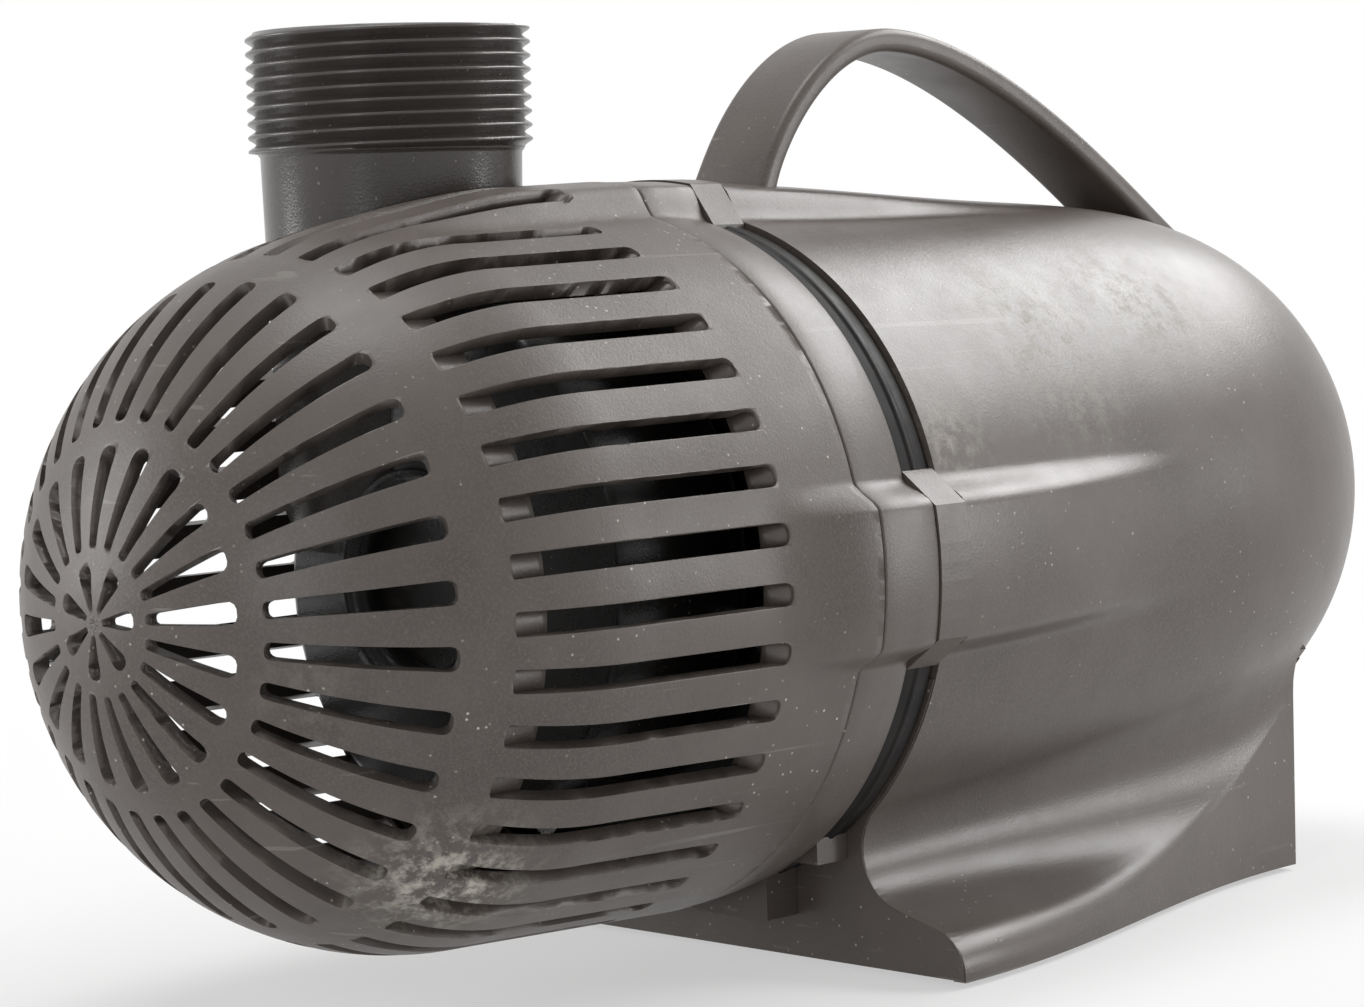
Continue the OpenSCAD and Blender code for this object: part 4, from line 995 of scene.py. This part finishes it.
class Recipe:
    """A material and short calls that add and link its shader nodes."""

    def __init__(self, name):
        self.material = bpy.data.materials.new(name)
        self.material.use_nodes = True
        self.tree = self.material.node_tree
        self.shader = self.tree.nodes["Principled BSDF"]
        self.place = self.add("ShaderNodeTexCoord").outputs["Object"]

    def add(self, kind, **values):
        """Adds a shader node to this material."""
        return add_node(self.tree, kind, **values)

    def link(self, a, b):
        """Links an output to an input."""
        self.tree.links.new(a, b)

    def noise(self, scale, detail=6.0, rough=0.55, stretch=None, turn=(0, 0, 0)):
        """Noise between 0 and 1, also stretched and turned. Scales are per metre."""
        node = self.add("ShaderNodeTexNoise", Scale=scale, Detail=detail, Roughness=rough)
        place = self.place
        if stretch is not None:
            mapping = self.add("ShaderNodeMapping", Scale=stretch, Rotation=turn)
            self.link(place, mapping.inputs["Vector"])
            place = mapping.outputs["Vector"]
        self.link(place, node.inputs["Vector"])
        return node.outputs["Fac"]

    def ramp(self, value, low, high, a=0.0, b=1.0):
        """A value spread from low..high to a..b, and held at both ends."""
        node = self.add("ShaderNodeMapRange")
        for name, limit in (("From Min", low), ("From Max", high), ("To Min", a), ("To Max", b)):
            node.inputs[name].default_value = limit
        self.link(value, node.inputs["Value"])
        return node.outputs["Result"]

    def maths(self, kind, a, b):
        """Two values, each a number or an output, worked into one."""
        node = self.add("ShaderNodeMath", operation=kind)
        for i, v in enumerate((a, b)):
            if isinstance(v, (int, float)):
                node.inputs[i].default_value = v
            else:
                self.link(v, node.inputs[i])
        return node.outputs["Value"]

    def mix(self, share, a, b):
        """Two colours mixed by a share, each a tuple or an output."""
        node = self.add("ShaderNodeMix", data_type="RGBA")
        self.link(share, node.inputs["Factor"])
        for slot, v in (("A", a), ("B", b)):
            socket = [s for s in node.inputs if s.name == slot and s.type == "RGBA"][0]
            if isinstance(v, tuple):
                socket.default_value = v + (1.0,)
            else:
                self.link(v, socket)
        return [o for o in node.outputs if o.type == "RGBA"][0]

    def bump(self, height, strength, distance, normal=None):
        """A fine relief, also on top of another one."""
        node = self.add("ShaderNodeBump", Strength=strength, Distance=distance * MM)
        self.link(height, node.inputs["Height"])
        if normal is not None:
            self.link(normal, node.inputs["Normal"])
        return node.outputs["Normal"]

    def finish(self, colour, roughness, normal):
        """Links the three results to the shader."""
        for name, output in (("Base Color", colour), ("Roughness", roughness), ("Normal", normal)):
            self.link(output, self.shader.inputs[name])
        return self.material


# Noises: their scale per metre, detail and roughness.
CLOUDS = (30.0, 6.0, 0.62)
GRAIN = (2300.0, 2.0, 0.5)
DIMPLES = (420.0, 3.0, 0.5)
CRUST = (330.0, 6.0, 0.7)
SHEEN = (90.0, 4.0, 0.6)
DUST_AREAS = (34.0, 4.0, 0.65)
FILM_AREAS = (12.0, 5.0, 0.65)
# Spreads: the noise at which a share starts to grow and at which it is full.
CLOUD_SPREAD = (0.36, 0.66)
GRAIN_SPREAD = (0.44, 0.70)
AREA_SPREAD = (0.46, 0.62)
LINE_SPREAD = (0.70, 0.73)
LINE_AREA_SPREAD = (0.52, 0.62)
FILM_SPREAD = (0.52, 0.72)
WIDE_SPREAD = (0.3, 0.7)
TONE_SPREAD = (0.35, 0.65)
# Specks: their cells per metre, the size of a dot in its cell, and which cells have one.
SPECKS = 620.0
SPECK_DOT = (0.07, 0.17)
SPECK_CELLS = (0.56, 0.66)
SPECK_ROUGH = 0.25
# Scratches run two ways. Each has its turn, its scale and the scale of its areas.
SCRATCHES = (((0.3, 0.5, 0.2), 60.0, 23.0), ((1.1, 0.2, 1.9), 85.0, 25.5))
SCRATCH_STRETCH = (1.0, 0.14, 9.0)
SCRATCH_STRENGTH = 0.22
FILM_STRENGTH = 0.22
LIME_CORE_SHARE = 0.25
LIME_ROUGH = 0.2
# Reliefs: their strength and depth in millimetres.
GRAIN_STRENGTH = 0.8
GRAIN_DEPTH = 0.05
DIMPLE_STRENGTH = 0.22
DIMPLE_DEPTH = 0.1
# How far a plastic's roughness strays to both sides of its gloss.
GLOSS_RANGE = (-0.03, 0.05)
# Metals and dull stuff. A relief has its scale, strength and depth.
METAL_SHADE = 0.8
METAL_CLOUDS = 80.0
METAL_RANGE = (-0.08, 0.12)
METAL_RELIEF = (900.0, 0.2, 0.03)
BRUSHED = (600.0, 3.0, 0.5)
BRUSH_STRETCH = (1, 12, 1)
DULL_CLOUDS = 120.0
DULL_SHEEN = 300.0
DULL_RANGE = 0.08
DULL_RELIEF = (1500.0, 0.3, 0.04)
DUST_TONE = (0.62, 0.59, 0.54)
SCRATCH_TONE = (0.42, 0.40, 0.37)
FILM_TONE = (0.20, 0.185, 0.17)
LIME = (0.60, 0.57, 0.50)


def speck_share(r):
    """Where pale specks lie, as dots that gather in patches."""
    cells = r.add("ShaderNodeTexVoronoi", Scale=SPECKS)
    r.link(r.place, cells.inputs["Vector"])
    areas = r.ramp(r.noise(*DUST_AREAS), *AREA_SPREAD)
    dots = r.ramp(cells.outputs["Distance"], *SPECK_DOT, 1.0, 0.0)
    chosen = r.ramp(cells.outputs["Color"], *SPECK_CELLS)
    return r.maths("MULTIPLY", r.maths("MULTIPLY", dots, chosen), areas)


def scratch_share(r):
    """Where fine scratches run, only in patches."""
    share = None
    for turn, scale, area_scale in SCRATCHES:
        line = r.noise(scale, 2.0, 0.5, SCRATCH_STRETCH, turn)
        areas = r.ramp(r.noise(area_scale, 2.0, 0.5), *LINE_AREA_SPREAD)
        line = r.maths("MULTIPLY", r.ramp(line, *LINE_SPREAD), areas)
        share = line if share is None else r.maths("MAXIMUM", share, line)
    return share


def lime_share(r, centre, reach):
    """Where lime sits round a place, as a crust that thins out."""
    away = r.add("ShaderNodeVectorMath", operation="DISTANCE")
    r.link(r.place, away.inputs[0])
    away.inputs[1].default_value = centre
    close = r.ramp(away.outputs["Value"], reach * LIME_CORE_SHARE, reach, 1.0, 0.0)
    crust = r.ramp(r.noise(*CRUST), *AREA_SPREAD)
    return r.maths("MULTIPLY", r.maths("MULTIPLY", close, close), crust)


def plastic(name, dark, light, gloss, dust, specular=0.5, marks=()):
    """Moulded plastic with a fine grain, dust, scratches and lime marks."""
    r = Recipe(name)
    r.shader.inputs["Specular IOR Level"].default_value = specular
    colour = r.mix(r.ramp(r.noise(*CLOUDS), *CLOUD_SPREAD), dark, light)
    fine = r.noise(*GRAIN)
    colour = r.mix(r.ramp(fine, *GRAIN_SPREAD), colour, light)
    speck = speck_share(r)
    colour = r.mix(r.maths("MULTIPLY", speck, dust), colour, DUST_TONE)
    colour = r.mix(r.maths("MULTIPLY", scratch_share(r), SCRATCH_STRENGTH * dust), colour, SCRATCH_TONE)
    film = r.ramp(r.noise(*FILM_AREAS), *FILM_SPREAD, 0.0, FILM_STRENGTH * dust)
    colour = r.mix(film, colour, FILM_TONE)
    rough = r.ramp(r.noise(*SHEEN), *WIDE_SPREAD, gloss + GLOSS_RANGE[0], gloss + GLOSS_RANGE[1])
    rough = r.maths("ADD", rough, r.maths("MULTIPLY", speck, SPECK_ROUGH))
    for centre, reach, strength in marks:
        lime = lime_share(r, centre, reach)
        colour = r.mix(r.maths("MULTIPLY", lime, strength), colour, LIME)
        rough = r.maths("ADD", rough, r.maths("MULTIPLY", lime, LIME_ROUGH))
    normal = r.bump(fine, GRAIN_STRENGTH, GRAIN_DEPTH)
    normal = r.bump(r.noise(*DIMPLES), DIMPLE_STRENGTH, DIMPLE_DEPTH, normal)
    return r.finish(colour, rough, normal)


def metal(name, colour, rough):
    """Turned or drawn metal with a fine grain round it."""
    r = Recipe(name)
    r.shader.inputs["Metallic"].default_value = 1.0
    tint = tuple(c * METAL_SHADE for c in colour)
    base = r.mix(r.ramp(r.noise(METAL_CLOUDS), *TONE_SPREAD), colour, tint)
    brushed = r.noise(*BRUSHED, BRUSH_STRETCH)
    finish = r.ramp(brushed, *WIDE_SPREAD, rough + METAL_RANGE[0], rough + METAL_RANGE[1])
    return r.finish(base, finish, r.bump(r.noise(METAL_RELIEF[0]), *METAL_RELIEF[1:]))


def dull(name, dark, light, rough, specular=0.5):
    """Rubber, ceramic and other matt stuff in two tones."""
    r = Recipe(name)
    r.shader.inputs["Specular IOR Level"].default_value = specular
    base = r.mix(r.ramp(r.noise(DULL_CLOUDS), *TONE_SPREAD), dark, light)
    finish = r.ramp(r.noise(DULL_SHEEN), *WIDE_SPREAD, rough - DULL_RANGE, rough + DULL_RANGE)
    return r.finish(base, finish, r.bump(r.noise(DULL_RELIEF[0]), *DULL_RELIEF[1:]))


# Lime marks: place and reach in metres, and strength.
CAGE_MARKS = (((0.036, -0.104, 0.026), 0.022, 0.8), ((-0.012, -0.058, 0.127), 0.020, 0.45),
              ((0.028, -0.120, 0.060), 0.016, 0.3))
COVER_MARKS = (((0.050, 0.028, 0.107), 0.030, 0.32), ((0.046, 0.062, 0.112), 0.026, 0.28),
               ((0.060, -0.008, 0.092), 0.018, 0.35))
DARK_HOUSING = (0.064, 0.052, 0.045)
PALE_HOUSING = (0.102, 0.085, 0.075)
FINISHES = {
    "housing": plastic("housing_plastic", DARK_HOUSING, PALE_HOUSING, 0.37, dust=0.8),
    "cage": plastic("cage_plastic", DARK_HOUSING, PALE_HOUSING, 0.42, dust=1.0, marks=CAGE_MARKS),
    "cover": plastic("cover_plastic", DARK_HOUSING, PALE_HOUSING, 0.32, dust=0.7, marks=COVER_MARKS),
    "black_plastic": plastic("black_plastic_finish", (0.037, 0.032, 0.029), (0.058, 0.050, 0.046), 0.24,
                             dust=0.6),
    # Black plastic of the volute inside the cage, painted darker still as the shade inside the cage.
    "inner": plastic("inner_black_and_painted_shade", (0.008, 0.007, 0.006), (0.014, 0.012, 0.011), 0.26, dust=0.25,
                     specular=0.35),
    # Black plastic of the flange, painted darker still as the shade in the groove between the ring and the
    # cover.
    "groove": dull("groove_black_and_painted_shade", (0.010, 0.009, 0.009), (0.018, 0.016, 0.015), 0.45, specular=0.15),
    "seal": dull("seal_rubber", (0.012, 0.012, 0.012), (0.03, 0.03, 0.03), 0.7),
    "steel": metal("stainless_steel", (0.62, 0.61, 0.59), 0.3),
    "ceramic": dull("ceramic_white", (0.72, 0.70, 0.64), (0.82, 0.80, 0.76), 0.3),
    "iron": metal("dark_iron", (0.22, 0.21, 0.2), 0.5),
    "copper": metal("enamelled_copper", (0.55, 0.26, 0.12), 0.35),
}


def dress(obj, finish):
    """Gives an object one of the finishes."""
    obj.data.materials.clear()
    obj.data.materials.append(FINISHES[finish])


for piece, finish in ((cage, "cage"), (floors, "cage"), (ring_skin, "housing"), (cover, "cover"),
                      (front, "housing"), (handle, "housing")):
    dress(piece, finish)
for piece, finish in ((flange_skin, "groove"), (tube, "black_plastic"), (thread, "black_plastic"),
                      (scroll, "inner"), (bell, "inner"), (sleeve, "inner")):
    dress(piece, finish)
NODE_FINISHES = {
    "steel": ("volute_screws", "impeller_nut", "lobe_screws", "rotor_can", "thermal_switch",
              "end_cap_screws"),
    "seal": ("volute_seal", "can_seal", "end_cap_seal", "gland_seal", "cord_grommet", "bush_boot",
             "foot_pads"),
    "ceramic": ("shaft", "front_washer", "rear_washer", "front_bush", "rear_bush"),
    "black_plastic": ("impeller", "bearing_plate", "end_cap", "cable_gland", "gland_nut"),
    "housing": ("motor_housing",),
    "iron": ("rotor_magnet", "stator_core"),
    "copper": ("windings",),
}
for finish, names in NODE_FINISHES.items():
    for name in names:
        dress(nodes[name], finish)
        nodes[name].data.shade_flat()

# Stage. Places, sizes and the floor's fade are in metres.
WHITE = (1, 1, 1, 1)
SKY_TONE = (1.0, 0.99, 0.98, 1)
SKY_STRENGTH = 0.22
FLOOR_TONE = (0.9, 0.9, 0.9, 1)
FLOOR_HALF = 4.0
FLOOR_DEPTH = 0.0003
FADE_REACH = (0.12, 0.42)
FADE_SHARES = (0.5, 1.0)


def seen_rays(tree):
    """One where the camera, a gloss or a clear piece looks straight at the backdrop."""
    path = add_node(tree, "ShaderNodeLightPath")
    total = path.outputs["Is Camera Ray"]
    for name in ("Is Glossy Ray", "Is Transmission Ray"):
        pick = add_node(tree, "ShaderNodeMath", operation="MAXIMUM")
        tree.links.new(total, pick.inputs[0])
        tree.links.new(path.outputs[name], pick.inputs[1])
        total = pick.outputs["Value"]
    return total


def mix_shaders(tree, mix, share, first, second, out):
    """Links two shaders, their share and the tree's output to a mixing node."""
    tree.links.new(share, mix.inputs["Fac"])
    tree.links.new(first, mix.inputs[1])
    tree.links.new(second, mix.inputs[2])
    tree.links.new(mix.outputs["Shader"], out.inputs["Surface"])


def white_world():
    """A white backdrop to look at and a dimmer sky for the light."""
    sky = bpy.data.worlds.new("backdrop")
    sky.use_nodes = True
    tree = sky.node_tree
    tree.nodes.clear()
    out = add_node(tree, "ShaderNodeOutputWorld")
    mix = add_node(tree, "ShaderNodeMixShader")
    seen = add_node(tree, "ShaderNodeBackground", Color=WHITE)
    lit = add_node(tree, "ShaderNodeBackground", Color=SKY_TONE, Strength=SKY_STRENGTH)
    mix_shaders(tree, mix, seen_rays(tree), lit.outputs["Background"], seen.outputs["Background"], out)
    bpy.context.scene.world = sky


def pale_floor():
    """A white floor that keeps a soft shadow near the pump and fades into the backdrop."""
    mesh = bpy.data.meshes.new("floor")
    corners = ((-1, -1), (1, -1), (1, 1), (-1, 1))
    mesh.from_pydata([(x * FLOOR_HALF, y * FLOOR_HALF, -FLOOR_DEPTH) for x, y in corners], [], [(0, 1, 2, 3)])
    obj = new_object("floor", mesh)
    material = bpy.data.materials.new("floor_white")
    material.use_nodes = True
    tree = material.node_tree
    tree.nodes.clear()
    out = add_node(tree, "ShaderNodeOutputMaterial")
    matt = add_node(tree, "ShaderNodeBsdfDiffuse", Color=FLOOR_TONE)
    glow = add_node(tree, "ShaderNodeEmission", Color=WHITE)
    place = add_node(tree, "ShaderNodeTexCoord")
    away = add_node(tree, "ShaderNodeVectorMath", operation="LENGTH")
    tree.links.new(place.outputs["Object"], away.inputs[0])
    fade = add_node(tree, "ShaderNodeMapRange")
    for side, limits in (("From", FADE_REACH), ("To", FADE_SHARES)):
        fade.inputs[side + " Min"].default_value, fade.inputs[side + " Max"].default_value = limits
    tree.links.new(away.outputs["Value"], fade.inputs["Value"])
    share = add_node(tree, "ShaderNodeMath", operation="MULTIPLY")
    tree.links.new(fade.outputs["Result"], share.inputs[0])
    tree.links.new(seen_rays(tree), share.inputs[1])
    mix = add_node(tree, "ShaderNodeMixShader")
    mix_shaders(tree, mix, share.outputs["Value"], matt.outputs["BSDF"], glow.outputs["Emission"], out)
    mesh.materials.append(material)


# Softboxes: name, place, the point they face, width and height, and power in watts.
MIDDLE = (0.0, 0.02, 0.07)
SOFTBOXES = (
    ("back_top", (0.27, 1.08, 0.92), MIDDLE, (1.35, 0.55), 15.0),
    ("top", (-0.15, -0.1, 1.2), MIDDLE, (0.5, 0.5), 5.0),
    ("left", (-0.9, -0.75, 0.35), (0.0, -0.1, 0.07), (0.35, 0.6), 5.0),
    ("right_strip", (1.05, 0.95, 0.22), MIDDLE, (0.3, 0.4), 4.5),
    ("front", (0.36, -1.15, 0.42), (0.0, -0.08, 0.08), (0.22, 0.8), 2.6),
)


def softbox(name, place, target, size, power):
    """A rectangular light that faces a point."""
    light = bpy.data.lights.new(name, "AREA")
    light.shape = "RECTANGLE"
    light.size, light.size_y = size
    light.energy = power
    obj = new_object(name, light)
    obj.location = place
    obj.rotation_euler = (Vector(target) - Vector(place)).to_track_quat("-Z", "Y").to_euler()


white_world()
pale_floor()
for values in SOFTBOXES:
    softbox(*values)

# Camera, fitted to the slots, seams, lobes and edges of the photographed pump.
SENSOR_MM = 36.0
LENS_MM = 96.98
CAMERA_PLACE = Vector((0.44243, -0.46587, 0.12542))
RIGHT = Vector((0.71558, 0.69794, -0.02874))
DOWN = Vector((0.03261, -0.07448, -0.99669))
FORWARD = Vector((-0.69777, 0.71227, -0.07605))


def add_camera():
    """The camera that sees the pump as the photograph does."""
    data = bpy.data.cameras.new("camera")
    data.sensor_width = SENSOR_MM
    data.lens = LENS_MM
    camera = new_object("camera", data)
    pose = Matrix((RIGHT, -DOWN, -FORWARD)).transposed().to_4x4()
    pose.translation = CAMERA_PLACE
    camera.matrix_world = pose
    bpy.context.scene.camera = camera


add_camera()
bpy.context.scene.view_settings.view_transform = "Standard"
